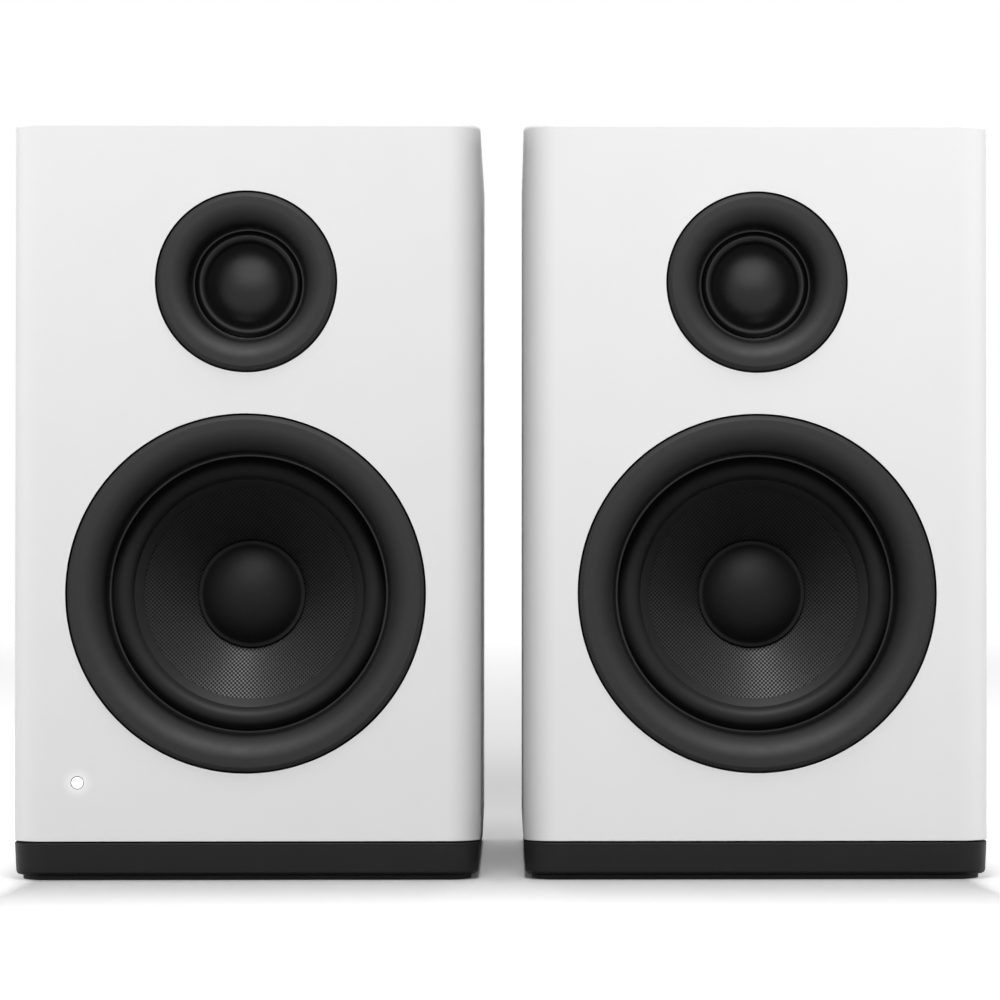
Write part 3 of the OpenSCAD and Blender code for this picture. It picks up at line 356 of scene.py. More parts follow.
# Sections and outlines, as lists of points


def arc(centre, radius, start, end, steps):
    """Points of an arc; the angles are in degrees."""
    angles = [math.radians(start + (end - start) * i / steps) for i in range(steps + 1)]
    return [(centre[0] + radius * math.cos(a), centre[1] + radius * math.sin(a)) for a in angles]


def circle(radius, count):
    """Points round a circle about the origin."""
    angles = [2 * math.pi * i / count for i in range(count)]
    return [(radius * math.cos(a), radius * math.sin(a)) for a in angles]


def rounded(corners, steps=5):
    """Points of an outline whose corners are (x, y, radius)."""
    points = []
    for i, (x, y, radius) in enumerate(corners):
        here = Vector((x, y))
        if radius == 0.0:
            points.append((x, y))
            continue
        before = (Vector(corners[i - 1][:2]) - here).normalized()
        after = (Vector(corners[(i + 1) % len(corners)][:2]) - here).normalized()
        half = before.angle(after) / 2
        middle = here + (before + after).normalized() * (radius / math.sin(half))
        first = here + before * (radius / math.tan(half)) - middle
        last = here + after * (radius / math.tan(half)) - middle
        turn = first.angle_signed(last)
        for k in range(steps + 1):
            spoke = first.copy()
            spoke.rotate(Matrix.Rotation(-turn * k / steps, 2))
            points.append(tuple(middle + spoke))
    return points


def box_outline(width, depth, front_r, rear_r, inset):
    """Plan of a box with rounded upright edges, from the left end of its front, Y from the front."""
    x, low, high = width / 2 - inset, inset, depth - inset
    front, rear = front_r - inset, rear_r - inset
    points = arc((-x + front, low + front), front, 180, 270, EDGE_STEPS)
    points += arc((x - front, low + front), front, 270, 360, EDGE_STEPS)
    points += arc((x - rear, high - rear), rear, 0, 90, EDGE_STEPS)
    points += arc((-x + rear, high - rear), rear, 90, 180, EDGE_STEPS)
    return points


def side_section(low, high, low_curl, top_curl, low_steps, top_steps, draft=0.0):
    """(inset, height) points up a side with rounded edges, which is set in by its draft at the bottom."""
    lower = arc((draft + low_curl, low + low_curl), low_curl, 270, 180, low_steps)
    return lower + arc((top_curl, high - top_curl), top_curl, 180, 90, top_steps)


def rounded_rectangle(width, height, radius, steps=CURL_STEPS):
    """A rectangle with rounded corners, about the origin."""
    x, y = width / 2 - radius, height / 2 - radius
    places = ((x, y, 0), (-x, y, 90), (-x, -y, 180), (x, -y, 270))
    return [p for cx, cy, start in places for p in arc((cx, cy), radius, start, start + 90, steps)]


def dome_points(edge, rise, level, steps):
    """A spherical crown from its edge to its pole."""
    ball = (edge * edge + rise * rise) / (2 * rise)
    end = math.degrees(math.asin(min(1.0, edge / ball)))
    points = arc((0.0, level + rise - ball), ball, 90 - end, 90, steps)
    return points[:-1] + [(0.0, points[-1][1])]


def ring_face(outer, foot, stand, size):
    """A ring's side, chamfer and flat land, then a convex quarter ellipse down to its steep wall."""
    ring, steps = ring_sizes(), 28
    points = rounded([(outer, -foot, 0.0), (outer, 0.0, ring.foot_round),
                      (outer - ring.chamfer, stand, ring.crest_round), (size.land, stand, 0.0)])[:-1]
    fall, narrowing = stand + size.flare_depth, size.land - size.throat
    angles = [math.pi / 2 * i / steps for i in range(steps)]
    points += [(size.land - narrowing * math.sin(a), fall * math.cos(a) - size.flare_depth) for a in angles]
    return points


def ring_lip(size, back):
    """The foot of a ring's wall, its flat inner lip and its back, as far as its neck."""
    ring = ring_sizes()
    ledge, curl = back + ring.lip, ring.lip_round
    return rounded([(size.lip + ring.lip, ledge, 0.0), (size.lip, ledge, curl), (size.lip, back, curl),
                    (size.neck, back, 0.0)])


# Meshes


def level_loop(bm, plan, spot):
    """A closed loop of new vertices along a level plan about a spot."""
    return [bm.verts.new((spot[0] + x, spot[1] + y, spot[2])) for x, y in plan]


def upright_loop(bm, outline, spot):
    """A closed loop of new vertices along an outline across Y about a spot."""
    return [bm.verts.new((spot[0] + x, spot[1], spot[2] + z)) for x, z in outline]


def bridge(bm, first, second, skipped=()):
    """Joins two closed rings of vertices and gives the faces; a ring of one vertex is a pole."""
    count = max(len(first), len(second))
    made = []
    if count == 1:
        return made
    for i in range(count):
        if i in skipped:
            continue
        j = (i + 1) % count
        corners = [first[i % len(first)], first[j % len(first)],
                   second[j % len(second)], second[i % len(second)]]
        made.append(bm.faces.new(list(dict.fromkeys(corners))))
    return made


def bridge_all(bm, rings):
    """Joins each ring to the next."""
    for first, second in zip(rings, rings[1:]):
        bridge(bm, first, second)


def loop_edges(bm, loop):
    """The edges round a loop, made where they are missing."""
    pairs = zip(loop, loop[1:] + loop[:1])
    return [bm.edges.get(pair) or bm.edges.new(pair) for pair in pairs]


def plate(bm, outline, holes=()):
    """A flat plate between an outline and the holes in it."""
    if not holes:
        bm.faces.new(outline)
        return
    edges = [e for loop in (outline, *holes) for e in loop_edges(bm, loop)]
    bmesh.ops.triangle_fill(bm, edges=edges, use_beauty=True, use_dissolve=False)


def box_rings(bm, low, high, section):
    """Level rings of a box with rounded upright edges, one for each (inset, height) of its section."""
    size, middle = cabinet_sizes(), (low + high) / 2
    rings = []
    for inset, z in section:
        plan = box_outline(high.x - low.x, high.y - low.y, size.front_edge, size.rear_edge, inset)
        rings.append(level_loop(bm, plan, (middle.x, low.y, z)))
    return rings


def finished(bm, name, sharp_angle=32.0):
    """A smooth shaded object of a closed mesh, with its hard edges kept hard."""
    bmesh.ops.recalc_face_normals(bm, faces=bm.faces)
    mesh = bpy.data.meshes.new(name)
    bm.to_mesh(mesh)
    bm.free()
    mesh.shade_smooth()
    mesh.set_sharp_from_angle(angle=math.radians(sharp_angle))
    made = bpy.data.objects.new(name, mesh)
    bpy.context.scene.collection.objects.link(made)
    return made


def keep_flats(made):
    """Lets large flat faces set the normals along the roundings beside them."""
    weighted = made.modifiers.new("Flat faces", "WEIGHTED_NORMAL")
    weighted.mode = "FACE_AREA"
    weighted.weight = 90
    weighted.keep_sharp = True
    return made


def lathe(name, section, axis, segments=192):
    """Turns a closed section of (radius, height) points about an axis that points out of the front."""
    bm = bmesh.new()
    rings = []
    for radius, height in section:
        outline = circle(radius, segments if radius else 1)
        rings.append(upright_loop(bm, outline, (axis.x, axis.y - height, axis.z)))
    bridge_all(bm, rings + rings[:1])
    return finished(bm, name)


def stand_for(made, slot, finish, *nodes):
    """Gives a piece its finish and hides the nodes that it stands for. Its slot is not used."""
    made.data.materials.append(finish)
    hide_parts(*nodes)
    return made


def place(made, body, slot, finish, *nodes):
    """Puts a piece that stands for nodes on its body."""
    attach(stand_for(made, slot, finish, *nodes), body)
    return made


def flex(piece):
    """Bakes a ring's placement into its mesh."""
    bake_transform(piece)


def dress(finish, *nodes):
    """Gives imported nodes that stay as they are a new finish."""
    for node in nodes:
        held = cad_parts[node]
        held.data.materials.clear()
        held.data.materials.append(finish)


def on_both(*names):
    """The nodes or pieces of these names on both speakers."""
    return [f"{side}_{name}" for side in SIDES for name in names]


# Finishes


class Finish:
    """A new material, with its shader and the object's own coordinates in metres."""

    def __init__(self, name, tint, roughness, metallic=0.0, specular=0.5):
        self.material = bpy.data.materials.new(name)
        self.material.use_nodes = True
        self.material.diffuse_color = (*tint, 1.0)
        self.tree = self.material.node_tree
        self.shader = self.tree.nodes["Principled BSDF"]
        self.put("Base Color", (*tint, 1.0))
        self.put("Roughness", roughness)
        self.put("Metallic", metallic)
        self.put("Specular IOR Level", specular)
        self.coordinates = self.node("ShaderNodeTexCoord").outputs["Object"]
        self.surface = None

    def node(self, kind, inputs=None, **settings):
        """A node whose inputs are plain values or other nodes' outputs."""
        made = self.tree.nodes.new(kind)
        for key, value in settings.items():
            setattr(made, key, value)
        for key, value in (inputs or {}).items():
            self.feed(made.inputs[key], value)
        return made

    def feed(self, socket, value):
        """Sets a socket to a plain value or links it to another node's output."""
        if isinstance(value, bpy.types.NodeSocket):
            self.tree.links.new(value, socket)
        else:
            socket.default_value = value

    def put(self, socket, value):
        """Sets or links one of the shader's own inputs."""
        self.feed(self.shader.inputs[socket], value)

    def math(self, operation, first, second=0.0):
        """The result of one of the Math node's operations."""
        return self.node("ShaderNodeMath", {0: first, 1: second}, operation=operation).outputs[0]

    def plus(self, first, second):
        """The sum of two values."""
        return self.math("ADD", first, second)

    def minus(self, first, second):
        """The first value less the second."""
        return self.math("SUBTRACT", first, second)

    def times(self, first, second):
        """The product of two values."""
        return self.math("MULTIPLY", first, second)

    def above(self, value, limit):
        """1 where a value is over a limit, 0 elsewhere."""
        return self.math("GREATER_THAN", value, limit)

    def below(self, value, limit):
        """1 where a value is under a limit, 0 elsewhere."""
        return self.math("LESS_THAN", value, limit)

    def axes(self):
        """The three coordinates, each as a value."""
        return self.node("ShaderNodeSeparateXYZ", {0: self.coordinates}).outputs

    def reach(self, point):
        """Distance from a point."""
        apart = self.node("ShaderNodeVectorMath", {0: self.coordinates, 1: point}, operation="DISTANCE")
        return apart.outputs["Value"]

    def ramp(self, value, start, end, low=0.0, high=1.0, kind="LINEAR"):
        """Maps a value from start..end to low..high and no further."""
        inputs = {"Value": value, "From Min": start, "From Max": end, "To Min": low, "To Max": high}
        return self.node("ShaderNodeMapRange", inputs, interpolation_type=kind).outputs["Result"]

    def noise(self, scale, detail=2.0):
        """A soft random value; the scale is in lumps for each metre."""
        inputs = {"Vector": self.coordinates, "Scale": scale, "Detail": detail}
        return self.node("ShaderNodeTexNoise", inputs).outputs["Fac"]

    def uneven(self, scale, low, high, detail=2.0):
        """A value that wanders between low and high."""
        return self.ramp(self.noise(scale, detail), 0.0, 1.0, low, high)

    def blend(self, value, low, high):
        """A colour between two others."""
        mixer = self.node("ShaderNodeMixRGB", {"Fac": value})
        for socket, tint in (("Color1", low), ("Color2", high)):
            linked = isinstance(tint, bpy.types.NodeSocket)
            self.feed(mixer.inputs[socket], tint if linked else (*tint, 1.0))
        return mixer.outputs["Color"]

    def mottle(self, tint, scale, low, high):
        """A colour that wanders between two shades of a tint."""
        return self.blend(self.noise(scale), shaded(tint, low), shaded(tint, high))

    def bump(self, height, depth, strength=1.0):
        """Raises the surface by a height field, depth in metres."""
        made = self.node("ShaderNodeBump", {"Height": height, "Distance": depth, "Strength": strength})
        if self.surface is not None:
            self.feed(made.inputs["Normal"], self.surface)
        self.put("Normal", made.outputs["Normal"])

    def grain(self, scale, depth, strength):
        """Roughens the surface with fine random bumps, depth in metres."""
        self.bump(self.noise(scale), depth, strength)

    def soften(self, radius):
        """Lets the hard edges catch the light as if they were slightly rounded."""
        self.surface = self.node("ShaderNodeBevel", {"Radius": radius}, samples=6).outputs["Normal"]
        self.put("Normal", self.surface)


def shaded(tint, factor):
    """A colour made lighter or darker."""
    return tuple(min(1.0, channel * factor) for channel in tint)


def wrap_finish(name, painted_glow_at=None):
    """Satin white wrap with a faint orange peel; round a given point it carries a painted glow, light that
    the wrap emits itself.
    """
    tint = colours().wrap
    made = Finish(name, tint, roughness=0.5, specular=0.4)
    made.put("Base Color", made.mottle(tint, scale=60.0, low=0.985, high=1.01))
    made.put("Roughness", made.uneven(scale=240.0, low=0.46, high=0.54))
    made.grain(scale=900.0, depth=0.02 * MM, strength=0.5)
    if painted_glow_at is not None:
        # Painted glow: the wrap emits light round the status light, fading out over a set radius.
        size, painted_glow_strength = cabinet_sizes(), 0.17
        near = made.ramp(made.reach(painted_glow_at), size.light_core, size.painted_glow_reach, low=1.0, high=0.0)
        made.put("Emission Color", (*colours().light, 1.0))
        made.put("Emission Strength", made.times(made.times(near, near), painted_glow_strength))
    return made.material


def moulded_finish(name, tint, roughness=0.55, specular=0.36, grain=4200.0, depth=0.03 * MM, edge=0.0,
                   polish=None):
    """Moulded plastic with a fine spark eroded grain, which turns smoother between two depths of polish."""
    made = Finish(name, tint, roughness, specular=specular)
    if edge > 0.0:
        made.soften(edge)
    made.put("Base Color", made.mottle(tint, scale=80.0, low=0.88, high=1.12))
    wander, polished = 0.05, 0.45
    sheen = made.uneven(scale=420.0, low=roughness - wander, high=roughness + wander)
    if polish is not None:
        _, y, _ = made.axes()
        start, end = [FRONT_Y + below for below in polish]
        sheen = made.times(sheen, made.ramp(y, start, end, low=1.0, high=polished))
    made.put("Roughness", sheen)
    made.grain(grain, depth, strength=0.6)
    return made.material


def rubber_finish(name, tint, roughness, specular):
    """Matt rubber with a dusty bloom."""
    made = Finish(name, tint, roughness, specular=specular)
    made.put("Base Color", made.mottle(tint, scale=140.0, low=0.85, high=1.15))
    made.grain(scale=2600.0, depth=0.02 * MM, strength=0.5)
    return made.material


def cloth_finish(name, tint, pitch, angle, depth=0.05 * MM, roughness=0.5, specular=0.25):
    """Coated cloth with fine crossing threads at an angle in degrees, seen along Y; painted highlight on the
    threads' crests and painted shade between them.
    """
    made = Finish(name, tint, roughness, specular=specular)
    x, _, z = made.axes()
    cosine, sine, weft = math.cos(math.radians(angle)), math.sin(math.radians(angle)), 0.6
    waves = []
    for along, across in ((cosine, sine), (-sine, cosine)):
        run = made.plus(made.times(x, along), made.times(z, across))
        waves.append(made.math("SINE", made.times(run, 2 * math.pi / pitch)))
    threads = made.math("MAXIMUM", waves[0], made.times(waves[1], weft))
    level = made.ramp(threads, -1.0, 1.0)
    # Lighter and darker copies of the tint follow the threads' height: painted highlight on the crests,
    # painted shade in the hollows.
    made.put("Base Color", made.blend(level, shaded(tint, 0.6), shaded(tint, 1.3)))
    made.bump(level, depth, strength=0.7)
    return made.material


def weave_finish(name, pitch):
    """Plain weave that runs straight across and up, seen along Y: threads over a dark resin, with painted
    shade in the low hollows between the threads.
    """
    tint = colours().thread
    made = Finish(name, tint, roughness=0.42, specular=0.13)
    x, _, z = made.axes()
    waves = [made.math("SINE", made.times(run, math.pi / pitch)) for run in (x, z)]
    # Colour follows the weave's height: the hollows between threads take painted shade, and the threads'
    # tone wanders at random.
    level = made.ramp(made.times(*waves), start=-0.55, end=0.35, kind="SMOOTHSTEP")
    mottled = made.times(level, made.uneven(scale=900.0, low=0.75, high=1.15))
    made.put("Base Color", made.blend(mottled, colours().gap, tint))
    made.put("Roughness", made.ramp(level, 0.0, 1.0, low=0.7, high=0.36))
    made.bump(level, depth=0.06 * MM, strength=0.6)
    return made.material


def metal_finish(name, tint, roughness=0.32):
    """Plated metal with a faint drawn grain."""
    made = Finish(name, tint, roughness, metallic=1.0)
    made.soften(0.15 * MM)
    made.put("Roughness", made.uneven(scale=1400.0, low=roughness - 0.08, high=roughness + 0.1, detail=4.0))
    made.put("Base Color", made.mottle(tint, scale=160.0, low=0.85, high=1.1))
    made.grain(scale=2800.0, depth=0.01 * MM, strength=0.4)
    return made.material


def socket_finish(name, node, apart, collar):
    """A pair of plated sockets side by side, with a red and a white collar round their shells."""
    made = Finish(name, colours().steel, roughness=0.25, metallic=1.0)
    made.soften(0.15 * MM)
    middle = centre_of(node)
    x, _, z = made.axes()
    aside, up = made.minus(x, middle.x), made.minus(z, middle.z)
    across = made.minus(made.math("ABSOLUTE", aside), apart / 2)
    squares = [made.math("POWER", way, 2.0) for way in (across, up)]
    ring = made.above(made.math("SQRT", made.plus(*squares)), collar)
    marker = made.blend(made.above(aside, 0.0), colours().white, colours().red)
    made.put("Base Color", made.blend(ring, colours().steel, marker))
    made.put("Metallic", made.minus(1.0, ring))
    made.put("Roughness", made.uneven(scale=900.0, low=0.22, high=0.34))
    made.grain(scale=2400.0, depth=0.01 * MM, strength=0.4)
    return made.material


def knob_finish(name, node, mark, half_width):
    """Matt black knob with a white line on its face, between two distances from its axis."""
    tint = colours().panel
    made = Finish(name, tint, roughness=0.42)
    made.soften(0.3 * MM)
    middle = centre_of(node)
    x, _, z = made.axes()
    up = made.minus(z, middle.z)
    near = made.below(made.math("ABSOLUTE", made.minus(x, middle.x)), half_width)
    line = made.times(near, made.times(made.above(up, mark[0]), made.below(up, mark[1])))
    mottled = made.mottle(tint, scale=300.0, low=0.8, high=1.2)
    made.put("Base Color", made.blend(line, mottled, colours().white))
    made.put("Roughness", made.uneven(scale=700.0, low=0.36, high=0.5))
    made.grain(scale=3600.0, depth=0.02 * MM, strength=0.5)
    return made.material


def board_finish(name, node, thickness):
    """Green board with lighter traces at the back, and dark parts standing on its inner face."""
    tint = colours().board
    made = Finish(name, tint, roughness=0.35)
    made.soften(0.2 * MM)
    _, y, _ = made.axes()
    sheet = made.above(y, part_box(node)[1].y - thickness)
    cells = made.node("ShaderNodeTexBrick", {"Vector": made.coordinates, "Scale": 90.0, "Mortar Size": 0.03})
    traces = made.blend(cells.outputs["Fac"], tint, shaded(tint, 2.2))
    sleeves = made.mottle(colours().ferrite, scale=220.0, low=1.0, high=1.6)
    made.put("Base Color", made.blend(sheet, sleeves, traces))
    made.grain(scale=1800.0, depth=0.02 * MM, strength=0.4)
    return made.material


def coil_finish(name, node, pitch):
    """Turns of enamelled copper wire on the rear half of a paper former."""
    made = Finish(name, colours().copper, roughness=0.35)
    _, y, _ = made.axes()
    wound = made.above(y, centre_of(node).y)
    turns = made.math("SINE", made.times(y, 2 * math.pi / pitch))
    made.put("Base Color", made.blend(wound, colours().former, colours().copper))
    made.put("Metallic", wound)
    made.bump(made.times(turns, wound), depth=0.08 * MM)
    return made.material


def lead_finish(name):
    """Soft jackets, red and black by chance from one lead to the next."""
    made = Finish(name, colours().red, roughness=0.45)
    each = made.node("ShaderNodeNewGeometry").outputs["Random Per Island"]
    made.put("Base Color", made.blend(made.above(each, 0.5), colours().panel, colours().red))
    made.grain(scale=2000.0, depth=0.02 * MM, strength=0.4)
    return made.material


def light_finish(name, axis, core):
    """Clear light pipe whose middle glows."""
    made = Finish(name, colours().lens, roughness=0.25)
    brightness = 1.1
    made.put("Roughness", made.uneven(scale=3000.0, low=0.2, high=0.35))
    made.put("Emission Color", (*colours().light, 1.0))
    made.put("Emission Strength", made.times(made.below(made.reach(axis), core), brightness))
    return made.material


# Pieces


class PieceOperator:
    """What the operators of the pieces share."""

    bl_options = {"REGISTER", "UNDO"}

    def execute(self, context):
        self.build()
        return {"FINISHED"}


class SPEAKERS_OT_cabinets(PieceOperator, bpy.types.Operator):
    """Builds the two wrapped cabinets with their recesses, rebate and hollow inside"""

    bl_idname = "speakers.cabinets"
    bl_label = "Cabinets"

    def build(self):
        # The recesses' near black finish is painted shade, standing in for the dark shadow gap round the
        # rings.
        recess = moulded_finish("recess_painted_shade", colours().recess, roughness=0.8, specular=0.1)
        for side in SIDES:
            light = front_axis("left_led_lens") if side == "left" else None
            # The left speaker's wrap carries a painted glow round its status light.
            wrap = wrap_finish(f"{side}_white_wrap", light)
            shell = keep_flats(self.shell(side, light))
            place(shell, f"{side}_speaker", "white_wrap", wrap, f"{side}_cabinet")
            shell.data.materials.append(recess)

    def shell(self, side, light):
        """The rounded box, open for its drivers, its light and its rear panel."""
        size = cabinet_sizes()
        low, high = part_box(f"{side}_cabinet")
        bm = bmesh.new()
        section = side_section(low.z, high.z, size.bottom_round, size.top_round, TRIM_STEPS, CURL_STEPS)
        rings = box_rings(bm, low, high, section)
        wall = TRIM_STEPS
        openings = (EDGE_STEPS, 3 * EDGE_STEPS + 2)
        for level, (ring, above) in enumerate(zip(rings, rings[1:])):
            bridge(bm, ring, above, skipped=openings if level == wall else ())
        plate(bm, rings[0])
        plate(bm, rings[-1])
        ring, above = rings[wall], rings[wall + 1]
        front, back = [[ring[i], ring[i + 1], above[i + 1], above[i]] for i in openings]
        holes = self.front_holes(bm, side, light, front)
        mouth = self.rear_opening(bm, side, back)
        near, far = low.y + size.baffle, high.y - size.wall
        corners = [(low.x + size.wall, low.z + size.wall), (high.x - size.wall, low.z + size.wall),
                   (high.x - size.wall, high.z - size.wall), (low.x + size.wall, high.z - size.wall)]
        hollow = [upright_loop(bm, corners, (0.0, y, 0.0)) for y in (near, far)]
        bridge_all(bm, hollow)
        plate(bm, hollow[0], holes)
        plate(bm, hollow[1], [mouth])
        return finished(bm, f"{side}_cabinet_wrap")

    def front_holes(self, bm, side, light, front):
        """Fills the front round its recesses and gives the holes' inner ends."""
        size, turned = cabinet_sizes(), 3
        woofer_segments, tweeter_segments, light_segments = 192, 144, 48
        holes = [
            (front_axis(f"{side}_woofer_bezel"), size.woofer_recess, size.woofer_seat,
             size.woofer_through, woofer_segments),
            (front_axis(f"{side}_tweeter_waveguide"), size.tweeter_recess, size.tweeter_seat,
             size.tweeter_through, tweeter_segments),
        ]
        if light is not None:
            holes.append((light, size.light_hole, size.light_seat, size.light_through, light_segments))
        mouths, inner_mouths = [], []
        for axis, radius, seat, through, segments in holes:
            lead = size.hole_round
            profile = [(radius + lead - lead * math.sin(a), lead - lead * math.cos(a))
                       for a in (math.pi / 2 * k / turned for k in range(turned + 1))]
            profile += [(radius, seat), (through, seat), (through, size.baffle)]
            loops = [upright_loop(bm, circle(r, segments), (axis.x, axis.y + depth, axis.z))
                     for r, depth in profile]
            # Faces past the lead rounding take the second slot, the recesses' painted shade.
            for step, (first, second) in enumerate(zip(loops, loops[1:])):
                for face in bridge(bm, first, second):
                    face.material_index = int(step >= turned)
            mouths.append(loops[0])
            inner_mouths.append(loops[-1])
        plate(bm, front, mouths)
        return inner_mouths

    def rear_opening(self, bm, side, back):
        """Fills the back round the panel's rebate and gives the opening's inner end."""
        size = cabinet_sizes()
        low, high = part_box(f"{side}_cabinet")
        panel_low, panel_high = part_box(f"{side}_rear_panel")
        width, height = panel_high.x - panel_low.x, panel_high.z - panel_low.z
        middle = (low + high) / 2
        rebate, far = high.y - size.panel, high.y - size.wall
        steps = ((size.rebate_fit, high.y), (size.rebate_fit, rebate), (-2 * size.ledge, rebate),
                 (-2 * size.ledge, far))
        loops = []
        for trim, y in steps:
            outline = rounded_rectangle(width + trim, height + trim, size.panel_corner)
            loops.append(upright_loop(bm, outline, (middle.x, y, middle.z)))
        bridge_all(bm, loops)
        plate(bm, back, loops[:1])
        return loops[-1]


class SPEAKERS_OT_bases(PieceOperator, bpy.types.Operator):
    """Builds the moulded bases with their drafted sides, and the foot pads under them"""

    bl_idname = "speakers.bases"
    bl_label = "Bases and foot pads"

    def build(self):
        base = moulded_finish("base_plastic", colours().base, roughness=0.48, specular=0.15)
        pad = rubber_finish("pad_rubber", colours().pad, roughness=0.7, specular=0.5)
        for side in SIDES:
            body = f"{side}_speaker"
            place(keep_flats(self.tray(side)), body, "black_plastic", base, f"{side}_base")
            place(keep_flats(self.pad(side)), body, "pad_rubber", pad, f"{side}_foot_pad")

    def tray(self, side):
        """The drafted outside, the seat of the cabinet and the ribbed underside."""
        size = cabinet_sizes()
        low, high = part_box(f"{side}_base")
        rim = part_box(f"{side}_cabinet")[0].z - size.base_seam
        middle = (low + high) / 2
        bm = bmesh.new()
        section = side_section(low.z, rim, size.base_round, size.base_top_edge, CURL_STEPS, TRIM_STEPS,
                               draft=size.base_draft)
        rings = box_rings(bm, low, high, section)
        bridge_all(bm, rings)
        trim = 2 * size.plateau_inset
        plan = rounded_rectangle(high.x - low.x - trim, high.y - low.y - trim, size.base_rib)
        seat = [level_loop(bm, plan, (middle.x, middle.y, z)) for z in (rim, high.z)]
        plate(bm, rings[-1], seat[:1])
        bridge_all(bm, seat)
        plate(bm, seat[1])
        self.pockets(bm, rings[0], low, high, rim - size.base_deck)
        return finished(bm, f"{side}_base_moulding")

    def pockets(self, bm, rim_loop, low, high, ceiling):
        """The hollow underside: two rows of three pockets between ribs."""
        wall, rib, columns, rows = cabinet_sizes().base_skirt, cabinet_sizes().base_rib, 3, 2
        width = (high.x - low.x - 2 * wall - (columns - 1) * rib) / columns
        depth = (high.y - low.y - 2 * wall - (rows - 1) * rib) / rows
        outline = rounded_rectangle(width, depth, rib, TRIM_STEPS)
        mouths = []
        for column in range(columns):
            for row in range(rows):
                x = low.x + wall + column * (width + rib) + width / 2
                y = low.y + wall + row * (depth + rib) + depth / 2
                mouth, roof = [level_loop(bm, outline, (x, y, z)) for z in (low.z, ceiling)]
                bridge(bm, mouth, roof)
                plate(bm, roof)
                mouths.append(mouth)
        plate(bm, rim_loop, mouths)

    def pad(self, side):
        """A thin sheet with rounded edges and corners."""
        size = cabinet_sizes()
        low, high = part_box(f"{side}_foot_pad")
        middle = (low + high) / 2
        curl, edge_steps, corner_steps = size.pad_round, 3, 10
        bm = bmesh.new()
        rings = []
        for inset, z in side_section(low.z, high.z, curl, curl, edge_steps, edge_steps):
            plan = rounded_rectangle(high.x - low.x - 2 * inset, high.y - low.y - 2 * inset,
                                     size.pad_corner - inset, corner_steps)
            rings.append(level_loop(bm, plan, (middle.x, middle.y, z)))
        bridge_all(bm, rings)
        plate(bm, rings[0])
        plate(bm, rings[-1])
        return finished(bm, f"{side}_foot_sheet")


